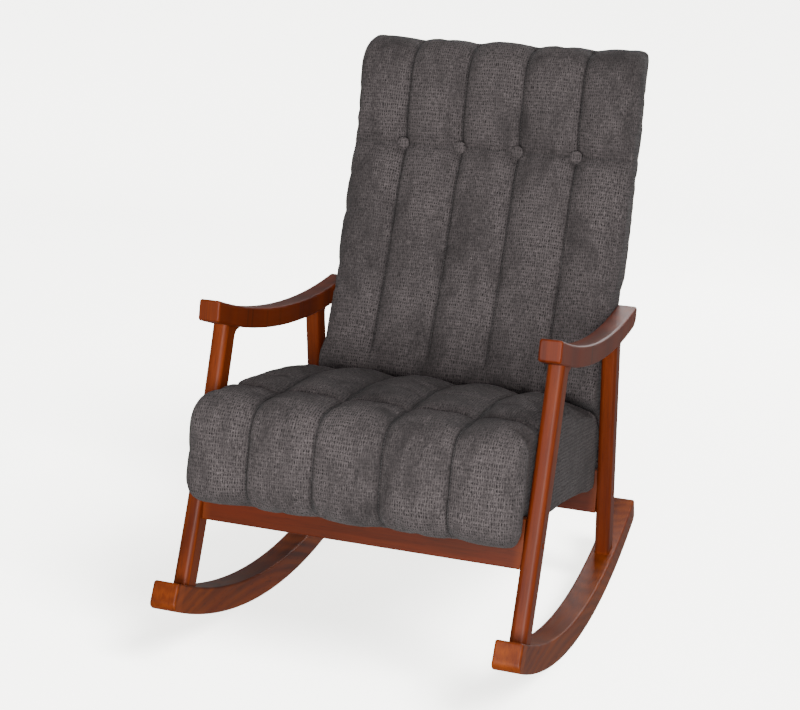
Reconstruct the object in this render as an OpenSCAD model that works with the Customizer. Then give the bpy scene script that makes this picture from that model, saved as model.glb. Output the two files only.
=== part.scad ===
// Upholstered rocking chair: two solid-wood side frames on curved rockers, two cross
// rails bolted between them, a sprung seat unit and a padded back unit with buttons.
// The chair is drawn with its seat level and then leaned back to its balance on the floor.
// +X is the sitter's left, +Y runs to the back, +Z is up, and all sizes are millimetres.

/* [Overall] */
// Distance between the centre planes of the two side frames
frame_centres = 582; // [480:1:720]
// Lean of the whole chair at rest on its rockers, from seat rails level
rest_tilt = 9.4; // [5:0.1:13]

/* [Rockers] */
// Radius of the curve that rolls on the floor
rocker_radius = 1110; // [920:5:1400]
// Reach of a rocker ahead of its centre, as an angle, seat level
rocker_front_angle = 18; // [16:0.5:24]
// Reach of a rocker behind its centre, as an angle, seat level
rocker_rear_angle = 30; // [24:0.5:34]
// Thickness of a rocker, up and down
rocker_depth = 46; // [38:1:60]
// Width of a rocker
rocker_width = 46; // [38:1:60]
// Rounding of the lower corner at each rocker end
rocker_toe_r = 14; // [4:1:20]
// Place of the curve's centre, behind the front rail
rocker_centre_y = 232; // [200:1:270]

/* [Legs] */
// Width of every leg, across the chair
leg_width = 28.5; // [24:0.5:36]
// Depth of a front leg, front to back
front_leg_depth = 40; // [34:1:52]
// Depth of a rear leg, front to back
rear_leg_depth = 38; // [34:1:52]
// Front leg axis where it meets the rocker
front_leg_foot_y = -27.5; // [-40:0.5:-10]
// Front leg axis where it meets the arm
front_leg_top_y = 55.5; // [40:0.5:70]
// Backward bow of a front leg at its middle
front_leg_bow = 6; // [0:1:12]
// Rear leg axis where it meets the rocker
rear_leg_foot_y = 602; // [585:1:620]
// Rear leg axis where it meets the arm
rear_leg_top_y = 475; // [460:1:490]
// Hollow curve that blends the back of a leg into the arm
leg_cove_r = 16; // [8:1:24]

/* [Arms] */
// Width of an arm
arm_width = 38; // [32:1:50]
// Thickness of an arm
arm_thickness = 36; // [34:1:46]
// Front end of an arm
arm_front_y = -12; // [-30:1:0]
// Rear end of an arm
arm_rear_y = 598; // [596:1:612]
// Height of the arm's top at its front end, seat level
arm_front_z = 559; // [540:1:600]
// Rise of the arm's rear end over its front end
arm_rise = 27; // [10:1:40]
// Dip of the arm's top below a straight line
arm_sag = 34; // [20:1:45]
// Rounding of the top corner at the arm's rear end
arm_heel_r = 9; // [4:1:12]
// Rounding of the lower corner at the arm's rear end
arm_under_r = 20; // [8:1:24]

/* [Rails] */
// Height of the front and rear rails
rail_height = 82; // [70:1:96]
// Thickness of the front and rear rails
rail_thickness = 26; // [20:1:32]
// Height of the rails' lower edge, seat level
rail_bottom_z = 189; // [175:1:200]

/* [Seat] */
// Height of the seat crown, seat level
seat_crown_z = 447; // [435:1:470]
// How far the rolled front edge stands in front of the front rail
seat_nose = 84; // [60:1:110]
// Gap between the seat's side and a leg's inner face
seat_side_gap = 5.25; // [3:0.25:12]
// Thickness of the seat frame's members
seat_board = 22; // [18:1:28]
// Height of the seat frame's members
seat_board_h = 75; // [50:1:90]
// Rise of the arched lower edge on the seat's sides
seat_arch = 16; // [0:1:16]
// Wire of the zigzag springs
spring_wire = 3.8; // [3:0.1:4.5]
// Number of zigzag springs
spring_count = 4; // [3:1:5]

/* [Back] */
// Height of the back's top edge, seat level
back_top_z = 1064; // [980:1:1160]
// Lean of the back's rear face, from square to the seat rails
back_lean = 4.8; // [2:0.2:8]
// Front to back thickness of the back at the headrest
head_thick = 88; // [76:1:110]
// Depth of a back stile
stile_depth = 44; // [40:1:52]
// Width of a back stile
stile_width = 40; // [32:1:50]
// Height of the row of buttons, seat level
button_z = 852; // [800:1:880]
// Distance between neighbouring buttons and channels
channel_pitch = 114; // [90:1:125]
// Diameter of a covered button
button_d = 25; // [18:1:32]

/* [Upholstery] */
// Thickness of the fabric cover with its lining
cover_t = 2.5; // [1.5:0.5:4]
// Thickness of the polyester wadding under the cover
wadding_t = 8; // [5:1:14]
// Thickness of the black dust cover under the seat
dust_t = 1; // [0.8:0.1:2]

/* [Fasteners] */
// Diameter of the frame dowels
dowel_d = 8; // [6:1:10]
// Length of the frame dowels
dowel_l = 34; // [28:1:40]
// Distance between the two dowels of a leg joint
dowel_pitch = 18; // [14:1:22]
// Thread diameter of the frame bolts
bolt_d = 6; // [5:1:8]
// Diameter of the bolt heads
bolt_head_d = 10; // [9:0.5:13]
// Height of the bolt heads
bolt_head_h = 5; // [4:0.5:6]
// Depth of a bolt head below the wood's surface
bolt_sunk = 3; // [1:0.5:5]
// Reach of a rail bolt past the leg's inner face
bolt_reach = 52; // [44:1:60]
// Diameter of the barrel nuts and insert nuts
nut_d = 11; // [10:0.5:14]
// Diameter of the wood screws
screw_d = 4.5; // [3.5:0.5:5]

/* [Fits] */
// Glue line between wooden parts that meet on a face
glue_gap = 0.1; // [0.05:0.05:0.3]
// Radial room round a dowel
dowel_room = 0.05; // [0.02:0.01:0.1]
// Radial room round a bolt, nut or screw
bolt_room = 0.25; // [0.1:0.05:0.5]
// Room between an upholstered face and the wood beside it
soft_gap = 0.5; // [0.3:0.1:2]

/* [Hidden] */
$fn = 48;

wood = "sienna";
dark_wood = "saddlebrown";
beech = "burlywood";
fabric = "dimgray";
steel = "silver";
over = 1;                  // cutters pass a face by this much

// ---- frame lines -------------------------------------------------------------
side_x = frame_centres / 2;
leg_inner_x = side_x - leg_width / 2;
arm_inner_x = side_x - arm_width / 2;
rail_top_z = rail_bottom_z + rail_height;
rail_mid_z = rail_bottom_z + rail_height / 2;
rocker_centre = [rocker_centre_y, rocker_radius];
rocker_top_r = rocker_radius - rocker_depth;

// Point on a circle in the side view; the angle opens from straight down towards the back
function on_curve(centre, r, a) = centre + r * [sin(a), -cos(a)];
// Height of the rocker's top face at a given place
function rocker_top_z(y) = rocker_radius - sqrt(pow(rocker_top_r, 2) - pow(y - rocker_centre_y, 2));
// Linear blend between two points
function blend(a, b, t) = a + (b - a) * t;
// Unit vector
function unit(v) = v / norm(v);
// A quarter turn to the left
function left_of(v) = [-v[1], v[0]];

// Arm: two concentric arcs about a centre above the arm
arm_a = [arm_front_y, arm_front_z];
arm_b = [arm_rear_y, arm_front_z + arm_rise];
arm_chord = norm(arm_b - arm_a);
arm_top_r = (pow(arm_chord / 2, 2) + pow(arm_sag, 2)) / (2 * arm_sag);
arm_under_radius = arm_top_r + arm_thickness;
arm_centre = (arm_a + arm_b) / 2 + left_of(unit(arm_b - arm_a)) * (arm_top_r - arm_sag);
function arm_under_z(y) = arm_centre[1] - sqrt(pow(arm_under_radius, 2) - pow(y - arm_centre[0], 2));

// Leg axes, from the rocker's top face to the arm's lower face
front_foot = [front_leg_foot_y, rocker_top_z(front_leg_foot_y)];
front_head = [front_leg_top_y, arm_under_z(front_leg_top_y)];
rear_foot = [rear_leg_foot_y, rocker_top_z(rear_leg_foot_y)];
rear_head = [rear_leg_top_y, arm_under_z(rear_leg_top_y)];
// Point on a leg's bowed axis; t is 0 at the foot and 1 at the head
function leg_axis(foot, head, bow, t) =
  blend(foot, head, t) - left_of(unit(head - foot)) * bow * 4 * t * (1 - t);
// Share of a leg's length at which it passes a height
function leg_share(foot, head, z) = (z - foot[1]) / (head[1] - foot[1]);
front_rail_y = leg_axis(front_foot, front_head, front_leg_bow,
                        leg_share(front_foot, front_head, rail_mid_z))[0];
rear_rail_y = leg_axis(rear_foot, rear_head, 0, leg_share(rear_foot, rear_head, rail_mid_z))[0];
front_rail_face = front_rail_y - rail_thickness / 2;
front_rail_back = front_rail_y + rail_thickness / 2;
rear_rail_face = rear_rail_y - rail_thickness / 2;
rear_rail_back = rear_rail_y + rail_thickness / 2;

// ---- seat lines ----------------------------------------------------------------
seat_half = leg_inner_x - seat_side_gap;
seat_front_y = front_rail_face - seat_nose;
seat_rear_y = rear_rail_face - soft_gap;
seat_low_z = rail_bottom_z + 44;
seat_base_z = seat_low_z + seat_arch + dust_t;
seat_board_top = seat_base_z + seat_board_h;
seat_inside = seat_half - cover_t - soft_gap;
board_front_y = front_rail_back + cover_t + 2 * soft_gap;
board_rear_y = rear_rail_face - cover_t - 2 * soft_gap;
clip_roof = 1.2;           // thickness of a clip over its spring
spring_z = seat_board_top + 1 + spring_wire / 2;
foam_floor_z = spring_z + spring_wire / 2 + clip_roof + soft_gap;
spring_loop_r = 13;        // radius of a spring's end loops
spring_half_w = 18;        // half of a spring's straight bars
spring_span = board_rear_y - board_front_y - seat_board;
spring_bars = 2 * floor(spring_span / spring_loop_r / 4);
spring_step = spring_span / spring_bars;
clip_w = 30;               // spring clip, across
clip_l = 16;               // spring clip, front to back

// ---- back lines ----------------------------------------------------------------
back_half = arm_inner_x - soft_gap;
kink_z = rail_top_z + 209;
stile_back_y = rear_rail_back + cover_t + soft_gap + 23;
back_low_y = stile_back_y - stile_depth - cover_t - soft_gap;
frame_skin = 6;            // from the wooden back frame to the cover's outside
stile_top_z = back_top_z - 34;
stile_foot_z = rail_bottom_z + 14;
stile_x = back_half - cover_t - soft_gap - stile_width / 2;
// Rear face of the wooden back frame at a height
function frame_back_y(z) = stile_back_y + max(0, z - kink_z) * tan(back_lean);
arm_bolt_z = 560;
arm_bolt_y = frame_back_y(arm_bolt_z) - stile_depth / 2 - 4;
back_bolt_z = rail_mid_z + 20;
back_bolt_x = stile_x + 4;
lap_z = rail_top_z + 14;   // underside of the cover where it laps over the rear rail
stile_lap_z = lap_z + 2 + cover_t + soft_gap;
button_y = frame_back_y(button_z) + frame_skin - 74;
button_xs = [-1.5 * channel_pitch, -0.5 * channel_pitch, 0.5 * channel_pitch, 1.5 * channel_pitch];

// ---- floor ------------------------------------------------------------------------
// Ends of the chair along the floor, from below the rocker centre
toe_reach = -rocker_radius * sin(rocker_front_angle + rest_tilt) + rocker_toe_r / 3;
heel_reach = rocker_radius * sin(rocker_rear_angle - rest_tilt) - rocker_toe_r / 3;
head_reach = leaned_y([skin_y(back_top_z), back_top_z]) - 4;
footprint_mid = (toe_reach + max(heel_reach, head_reach)) / 2;

// ---- drawing helpers -------------------------------------------------------------
// Lays a side view (back, up) across the chair, w wide about x
module across(x, w) translate([x - w / 2, 0, 0]) rotate([90, 0, 90]) linear_extrude(w) children();
// A rod along X from x0 to x1
module rod_x(x0, x1, y, z, d) translate([x0, y, z]) rotate([0, 90, 0]) cylinder(d = d, h = x1 - x0);
// A rod along Y from y0 to y1
module rod_y(x, y0, y1, z, d) translate([x, y0, z]) rotate([-90, 0, 0]) cylinder(d = d, h = y1 - y0);
// A rod in the side view from point a along direction v
module rod_side(x, a, v, l, d)
  translate([x, a[0], a[1]]) rotate([atan2(-v[0], v[1]), 0, 0]) cylinder(d = d, h = l);
// A block between two corners
module block(lo, hi) translate(lo) cube(hi - lo);

// Points of an outline whose corners [y, z, r] are rounded with arcs
function corner_arc(a, p, b, r, steps = 8) =
  let (u = unit([a[0], a[1]] - [p[0], p[1]]), v = unit([b[0], b[1]] - [p[0], p[1]]),
       half = acos(u * v) / 2, reach = r / tan(half),
       c = [p[0], p[1]] + unit(u + v) * r / sin(half),
       s = [p[0], p[1]] + u * reach - c, e = [p[0], p[1]] + v * reach - c,
       turn = 180 - 2 * half, way = (s[0] * e[1] - s[1] * e[0]) > 0 ? 1 : -1)
  r <= 0 ? [[p[0], p[1]]] :
  [for (i = [0 : steps]) let (t = way * turn * i / steps)
    c + [s[0] * cos(t) - s[1] * sin(t), s[0] * sin(t) + s[1] * cos(t)]];
function rounded(p) = [for (i = [0 : len(p) - 1])
  each corner_arc(p[(i + len(p) - 1) % len(p)], p[i], p[(i + 1) % len(p)], p[i][2])];

// Material outside a rounded corner, in the quarter that opens along u and v from p
module corner_waste(p, angle, r) translate(p) rotate(angle) difference() {
  translate([-over, -over]) square(r + over);
  translate([r, r]) circle(r);
}

// Place along the floor of a side-view point once the chair leans back about its rocker centre
function leaned_y(p) =
  (p[0] - rocker_centre[0]) * cos(rest_tilt) + (p[1] - rocker_centre[1]) * sin(rest_tilt);
// Leans the chair back and stands it on the floor with the origin under its middle
module at_rest() translate([0, -footprint_mid, rocker_radius]) rotate([-rest_tilt, 0, 0])
  translate([0, -rocker_centre[0], -rocker_centre[1]]) children();

// ---- wooden side frames --------------------------------------------------------------
module rocker_outline() {
  toe = on_curve(rocker_centre, rocker_radius, -rocker_front_angle);
  heel = on_curve(rocker_centre, rocker_radius, rocker_rear_angle);
  far = 1.3 * rocker_radius;
  difference() {
    intersection() {
      translate(rocker_centre) difference() {
        circle(rocker_radius, $fn = 360);
        circle(rocker_top_r, $fn = 360);
      }
      polygon([rocker_centre, on_curve(rocker_centre, far, -rocker_front_angle),
               on_curve(rocker_centre, far, (rocker_rear_angle - rocker_front_angle) / 2),
               on_curve(rocker_centre, far, rocker_rear_angle)]);
    }
    corner_waste(toe, -rocker_front_angle, rocker_toe_r);
    corner_waste(heel, rocker_rear_angle + 90, rocker_toe_r);
  }
}

// Side view of a leg with its hollow blend behind the head; it runs past both joints
// and is then coped to the rocker's top face and the arm's lower face
module leg_outline(foot, head, depth, bow) {
  steps = 12;
  past = 0.1;
  up = unit(head - foot);
  back = -left_of(up);
  blend_share = 1 - leg_cove_r / norm(head - foot);
  front_edge = [for (i = [0 : steps]) let (t = blend(-past, 1 + past, i / steps))
    leg_axis(foot, head, bow, t) - back * depth / 2];
  cove = [for (i = [steps : -1 : 0]) let (a = 90 * i / steps)
    head + back * (depth / 2 + leg_cove_r * (1 - cos(a))) + up * leg_cove_r * (sin(a) - 1)];
  rear_edge = [for (i = [steps - 1 : -1 : 0]) let (t = blend(-past, blend_share, i / steps))
    leg_axis(foot, head, bow, t) + back * depth / 2];
  difference() {
    intersection() {
      polygon(concat(front_edge, [head + back * (depth / 2 + leg_cove_r) + up * depth], cove, rear_edge));
      translate(rocker_centre) circle(rocker_top_r - glue_gap, $fn = 360);
    }
    translate(arm_centre) circle(arm_under_radius + glue_gap, $fn = 360);
  }
}

module arm_outline() {
  rear_top = [arm_rear_y, arm_centre[1] - sqrt(pow(arm_top_r, 2) - pow(arm_rear_y - arm_centre[0], 2))];
  rear_under = [arm_rear_y, arm_under_z(arm_rear_y)];
  slope = asin((arm_rear_y - arm_centre[0]) / arm_top_r);
  difference() {
    intersection() {
      translate(arm_centre) difference() {
        circle(arm_under_radius, $fn = 360);
        circle(arm_top_r, $fn = 360);
      }
      translate([arm_front_y, 0]) square([arm_rear_y - arm_front_y, arm_centre[1]]);
    }
    corner_waste(rear_top, 180 + slope / 2, arm_heel_r);
    corner_waste(rear_under, 90 + slope / 2, arm_under_r);
  }
}

// The two dowels of one leg joint: p is on the joint, v runs along the leg
module leg_joint_dowels(p, v, room) for (k = [-0.5, 0.5]) {
  start = p + left_of(v) * dowel_pitch * k - v * (dowel_l / 2 + room);
  rod_side(0, start, v, dowel_l + 2 * room, dowel_d + 2 * room);
}
module side_dowels(room) {
  leg_joint_dowels(front_foot, unit(front_head - front_foot), room);
  leg_joint_dowels(front_head, unit(front_head - front_foot), room);
  leg_joint_dowels(rear_foot, unit(rear_head - rear_foot), room);
  leg_joint_dowels(rear_head, unit(rear_head - rear_foot), room);
}

// Rail fastening at one end: the bolt on the rail's middle, a dowel below it
rail_dowel_in = 12;
rail_dowel_z = rail_mid_z - 24;
nut_x = leg_inner_x - bolt_reach + 8;
module rail_bolt_hole(s, y) {
  outer = leg_inner_x + leg_width;
  shank = bolt_d + 2 * bolt_room;
  head = bolt_head_d + 4 * bolt_room;
  scale_x(s) rod_x(leg_inner_x - bolt_reach - bolt_room, outer + over, y, rail_mid_z, shank);
  scale_x(s) rod_x(outer - bolt_head_h - bolt_sunk, outer + over, y, rail_mid_z, head);
}
// Mirrors to the sitter's right when s is -1
module scale_x(s) if (s > 0) children(); else mirror([1, 0, 0]) children();
// A rail dowel reaches rail_dowel_in into the leg and the rest of its length into the rail
module rail_dowel(s, y, room) scale_x(s)
  rod_x(leg_inner_x - dowel_l + rail_dowel_in - room, leg_inner_x + rail_dowel_in + room, y,
        rail_dowel_z, dowel_d + 2 * room);

module rocker(s) color(wood) at_rest() difference() {
  across(s * side_x, rocker_width) rocker_outline();
  translate([s * side_x, 0, 0]) side_dowels(dowel_room);
}
module front_leg(s) color(wood) at_rest() difference() {
  across(s * side_x, leg_width) leg_outline(front_foot, front_head, front_leg_depth, front_leg_bow);
  translate([s * side_x, 0, 0]) side_dowels(dowel_room);
  rail_bolt_hole(s, front_rail_y);
  rail_dowel(s, front_rail_y, dowel_room);
}
module rear_leg(s) color(wood) at_rest() difference() {
  across(s * side_x, leg_width) leg_outline(rear_foot, rear_head, rear_leg_depth, 0);
  translate([s * side_x, 0, 0]) side_dowels(dowel_room);
  rail_bolt_hole(s, rear_rail_y);
  rail_dowel(s, rear_rail_y, dowel_room);
}
module arm(s) color(wood) at_rest() difference() {
  across(s * side_x, arm_width) arm_outline();
  translate([s * side_x, 0, 0]) side_dowels(dowel_room);
  arm_bolt_hole(s);
}
module leg_dowels() color(beech) at_rest() for (s = [-1, 1]) translate([s * side_x, 0, 0]) side_dowels(0);

// ---- rails and their fastenings ---------------------------------------------------------
module rail(y) difference() {
  block([glue_gap - leg_inner_x, y - rail_thickness / 2, rail_bottom_z],
        [leg_inner_x - glue_gap, y + rail_thickness / 2, rail_top_z]);
  for (s = [-1, 1]) {
    rail_bolt_hole(s, y);
    rail_dowel(s, y, dowel_room);
    translate([s * nut_x, y, rail_bottom_z - over])
      cylinder(d = nut_d + 2 * bolt_room, h = rail_height / 2 + nut_d);
  }
}
module front_rail() color(wood) at_rest() difference() {
  rail(front_rail_y);
  seat_screw_holes(front = true);
}
module rear_rail() color(dark_wood) at_rest() difference() {
  rail(rear_rail_y);
  seat_screw_holes(front = false);
  for (s = [-1, 1]) back_bolt_hole(s);
}
module rail_dowels() color(beech) at_rest()
  for (s = [-1, 1], y = [front_rail_y, rear_rail_y]) rail_dowel(s, y, 0);

// A socket-head bolt along X whose head is sunk below the outer face at x
module bolt_x(x, y, z, l) difference() {
  union() {
    rod_x(x - bolt_sunk - bolt_head_h, x - bolt_sunk, y, z, bolt_head_d);
    rod_x(x - bolt_sunk - l, x - bolt_sunk, y, z, bolt_d);
  }
  translate([x - bolt_sunk - bolt_head_h * 0.6, y, z]) rotate([0, 90, 0])
    cylinder(d = bolt_d * 0.8, h = bolt_head_h, $fn = 6);
}
module rail_bolts() color(steel) at_rest() for (s = [-1, 1], y = [front_rail_y, rear_rail_y])
  scale_x(s) bolt_x(leg_inner_x + leg_width, y, rail_mid_z, leg_width + bolt_reach - bolt_sunk);
module barrel_nuts() color(steel) at_rest() for (s = [-1, 1], y = [front_rail_y, rear_rail_y])
  scale_x(s) difference() {
    translate([nut_x, y, rail_mid_z - nut_d]) cylinder(d = nut_d, h = 2 * nut_d - over);
    rod_x(nut_x - nut_d, nut_x + nut_d, y, rail_mid_z, bolt_d + 2 * bolt_room);
  }

// Arm to stile: bolt through the arm, insert nut in the stile
insert_l = 18;
module arm_bolt_hole(s) {
  outer = side_x + arm_width / 2;
  scale_x(s) rod_x(arm_inner_x - over, outer + over, arm_bolt_y, arm_bolt_z, bolt_d + 2 * bolt_room);
  scale_x(s) rod_x(outer - bolt_head_h - bolt_sunk, outer + over, arm_bolt_y, arm_bolt_z,
                   bolt_head_d + 4 * bolt_room);
}
module arm_bolts() color(steel) at_rest() for (s = [-1, 1])
  scale_x(s) bolt_x(side_x + arm_width / 2, arm_bolt_y, arm_bolt_z, arm_width + insert_l + 2);
stile_outer_x = stile_x + stile_width / 2;
stile_inner_x = stile_x - stile_width / 2;
module arm_insert_nuts() color(steel) at_rest() for (s = [-1, 1]) scale_x(s) difference() {
  rod_x(stile_outer_x - insert_l - 1, stile_outer_x - 1, arm_bolt_y, arm_bolt_z, nut_d);
  rod_x(stile_outer_x - insert_l - 2, stile_outer_x, arm_bolt_y, arm_bolt_z, bolt_d + 2 * bolt_room);
}

// Rear rail to stile foot: bolt through the rail's face, insert nut in the stile's lap
back_insert_l = 16;
module back_bolt_hole(s) {
  rod_y(s * back_bolt_x, rear_rail_face - over, rear_rail_back + over, back_bolt_z, bolt_d + 2 * bolt_room);
  rod_y(s * back_bolt_x, rear_rail_face - over, rear_rail_face + bolt_head_h + bolt_sunk, back_bolt_z,
        bolt_head_d + 4 * bolt_room);
}
module back_bolts() color(steel) at_rest() for (s = [-1, 1]) difference() {
  union() {
    rod_y(s * back_bolt_x, rear_rail_face + bolt_sunk, rear_rail_face + bolt_sunk + bolt_head_h,
          back_bolt_z, bolt_head_d);
    rod_y(s * back_bolt_x, rear_rail_face + bolt_sunk, stile_lap_y + back_insert_l, back_bolt_z, bolt_d);
  }
  translate([s * back_bolt_x, rear_rail_face + bolt_sunk - over, back_bolt_z]) rotate([-90, 0, 0])
    cylinder(d = bolt_d * 0.8, h = bolt_head_h * 0.6 + over, $fn = 6);
}
stile_lap_y = rear_rail_back + cover_t + soft_gap;
module back_insert_nuts() color(steel) at_rest() for (s = [-1, 1]) difference() {
  rod_y(s * back_bolt_x, stile_lap_y + 1, stile_lap_y + 1 + back_insert_l, back_bolt_z, nut_d);
  rod_y(s * back_bolt_x, stile_lap_y, stile_lap_y + 2 + back_insert_l, back_bolt_z, bolt_d + 2 * bolt_room);
}

// ---- seat unit ------------------------------------------------------------------------------
seat_back_drop = 47;       // how far the seat's top falls from its crown to the back's foot
seat_rear_top = max(seat_crown_z - 92, seat_board_top + 30);
function seat_points() = [
  [front_rail_face - soft_gap, seat_low_z - 4, 3],
  [seat_front_y, seat_low_z - 1, 46],
  [seat_front_y, seat_crown_z - 40, 62],
  [rocker_centre_y - 12, seat_crown_z, 620],
  [seat_rear_y - 78, seat_crown_z - seat_back_drop, 100],
  [seat_rear_y, seat_rear_top, 46],
  [seat_rear_y, seat_low_z, 3],
  [front_rail_back + soft_gap, seat_low_z, 3],
  [front_rail_back + soft_gap, rail_top_z + soft_gap, 0],
  [front_rail_face - soft_gap, rail_top_z + soft_gap, 0]
];
module seat_outline(inset) {
  if (inset > 0) offset(delta = -inset) polygon(rounded(seat_points()));
  else polygon(rounded(seat_points()));
}
// Where the padding lies: above the springs and in front of the front rail
module seat_padding_zone() {
  translate([seat_front_y - over, foam_floor_z])
    square([seat_rear_y - seat_front_y + 2 * over, seat_crown_z]);
  translate([seat_front_y - over, 0])
    square([front_rail_face - seat_front_y - cover_t, seat_crown_z]);
}
module seat_cover() color(fabric) at_rest() difference() {
  across(0, 2 * seat_half) seat_outline(0);
  across(0, 2 * (seat_half - cover_t)) seat_outline(cover_t);
  block([-seat_half + 14, board_front_y, seat_low_z - over],
        [seat_half - 14, board_rear_y, seat_low_z + cover_t + over]);
  seat_arch_cut();
  seat_screw_holes(front = true);
  seat_screw_holes(front = false);
}
// Arched lower edge of both side panels
module seat_arch_cut() {
  span = board_rear_y - board_front_y - 60;
  r = (pow(span / 2, 2) + pow(seat_arch, 2)) / (2 * seat_arch);
  translate([0, 0, seat_arch - r]) intersection() {
    translate([-seat_half - over, (board_front_y + board_rear_y) / 2, seat_low_z])
      rotate([0, 90, 0]) cylinder(r = r, h = 2 * (seat_half + over), $fn = 360);
    block([-seat_half - over, board_front_y, seat_low_z + r - seat_arch - over],
          [seat_half + over, board_rear_y, seat_low_z + r + over]);
  }
}
module seat_wadding() color("ghostwhite") at_rest() difference() {
  across(0, 2 * (seat_half - cover_t - 0.1)) intersection() {
    seat_outline(cover_t + 0.1);
    seat_padding_zone();
  }
  across(0, 2 * (seat_half - cover_t - wadding_t)) seat_outline(cover_t + wadding_t);
}
module seat_foam() color("khaki") at_rest()
  across(0, 2 * (seat_half - cover_t - wadding_t - 0.1)) intersection() {
    seat_outline(cover_t + wadding_t + 0.1);
    seat_padding_zone();
  }
module seat_dust_cover() color("black") at_rest()
  block([-seat_inside, board_front_y, seat_base_z - dust_t - glue_gap],
        [seat_inside, board_rear_y, seat_base_z - glue_gap]);

// The four boards of the seat frame, glued with dowels at the corners
module seat_end_board(y0) difference() {
  block([-seat_inside, y0, seat_base_z], [seat_inside, y0 + seat_board, seat_board_top]);
  seat_board_dowel_set(dowel_room);
  seat_screw_pilots();
}
module seat_front_board() color(beech) at_rest() seat_end_board(board_front_y);
module seat_rear_board() color(beech) at_rest() seat_end_board(board_rear_y - seat_board);
module seat_side_board(s) color(beech) at_rest() difference() {
  scale_x(s) block([seat_inside - seat_board, board_front_y + seat_board + glue_gap, seat_base_z],
                   [seat_inside, board_rear_y - seat_board - glue_gap, seat_board_top]);
  seat_board_dowel_set(dowel_room);
}
module seat_board_dowel_set(room) for (s = [-1, 1], k = [0.28, 0.72], e = [0, 1]) {
  joint = e == 0 ? board_front_y + seat_board : board_rear_y - seat_board;
  in_end = dowel_l * 0.45;
  in_side = dowel_l - in_end;
  rod_y(s * (seat_inside - seat_board / 2), joint - (e == 0 ? in_end : in_side) - room,
        joint + (e == 0 ? in_side : in_end) + room, seat_base_z + seat_board_h * k, dowel_d + 2 * room);
}
module seat_board_dowels() color(beech) at_rest() seat_board_dowel_set(0);
module seat_corner_blocks() color(beech) at_rest() for (s = [-1, 1], e = [0, 1]) {
  leg = 44;
  corner = [s * (seat_inside - seat_board - glue_gap),
            e == 0 ? board_front_y + seat_board + glue_gap : board_rear_y - seat_board - glue_gap];
  inward = e == 0 ? 1 : -1;
  translate([0, 0, seat_base_z + 6]) linear_extrude(seat_board_h - 14)
    polygon([corner, corner + [-s * leg, 0], corner + [-s * leg, inward * 8],
             corner + [-s * 8, inward * leg], corner + [0, inward * leg]]);
}

// Zigzag springs: straight bars joined by half rings, of square wire
spring_pitch = (2 * seat_inside - 2 * seat_board) / spring_count;
function spring_x(i) = (i - (spring_count - 1) / 2) * spring_pitch;
module seat_spring(x) translate([x, board_front_y + seat_board / 2, spring_z - spring_wire / 2])
  linear_extrude(spring_wire) {
    for (i = [0 : spring_bars])
      translate([-spring_half_w, i * spring_step - spring_wire / 2])
        square([2 * spring_half_w, spring_wire]);
    for (i = [0 : spring_bars - 1]) translate([0, (i + 0.5) * spring_step])
      rotate(i % 2 == 0 ? 0 : 180) translate([spring_half_w, 0]) spring_loop();
  }
// Half ring that joins two neighbouring bars
module spring_loop() intersection() {
  difference() {
    circle((spring_step + spring_wire) / 2);
    circle((spring_step - spring_wire) / 2);
  }
  translate([0, -spring_step]) square([spring_step, 2 * spring_step]);
}
module seat_springs() color(steel) at_rest() for (i = [0 : spring_count - 1]) seat_spring(spring_x(i));
// Folded clips nailed to the front and rear boards, each holding one end bar
module seat_spring_clips() color("gray") at_rest() for (i = [0 : spring_count - 1], e = [0, 1]) {
  y = e == 0 ? board_front_y + seat_board / 2 : board_rear_y - seat_board / 2;
  difference() {
    block([spring_x(i) - clip_w / 2, y - clip_l / 2, seat_board_top + glue_gap],
          [spring_x(i) + clip_w / 2, y + clip_l / 2, spring_z + spring_wire / 2 + bolt_room + clip_roof]);
    block([spring_x(i) - clip_w, y - spring_wire / 2 - bolt_room, seat_board_top],
          [spring_x(i) + clip_w, y + spring_wire / 2 + bolt_room, spring_z + spring_wire / 2 + bolt_room]);
  }
}

// Screws through the rails into the seat frame
seat_screw_xs = [-180, 180];
seat_screw_z = (seat_base_z + rail_top_z) / 2 + 1;
screw_head_d = 9;
screw_head_h = 3;
screw_sunk = 1;
screw_l = 40;
module seat_screw(x, front, room) {
  face = front ? front_rail_face : rear_rail_back;
  way = front ? 1 : -1;
  translate([x, face - way * room, seat_screw_z]) rotate([-90 * way, 0, 0]) {
    cylinder(d = screw_d + 2 * room, h = screw_l + 2 * room);
    translate([0, 0, room > 0 ? -over : screw_sunk])
      cylinder(d = screw_head_d + 2 * room,
               h = room > 0 ? over + screw_sunk + screw_head_h + 2 * room : screw_head_h);
  }
}
module seat_screw_holes(front) for (x = seat_screw_xs) seat_screw(x, front, bolt_room);
module seat_screw_pilots() for (x = seat_screw_xs, f = [true, false]) seat_screw(x, f, dowel_room);
module seat_screws() color(steel) at_rest() for (x = seat_screw_xs, f = [true, false]) seat_screw(x, f, 0);

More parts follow.
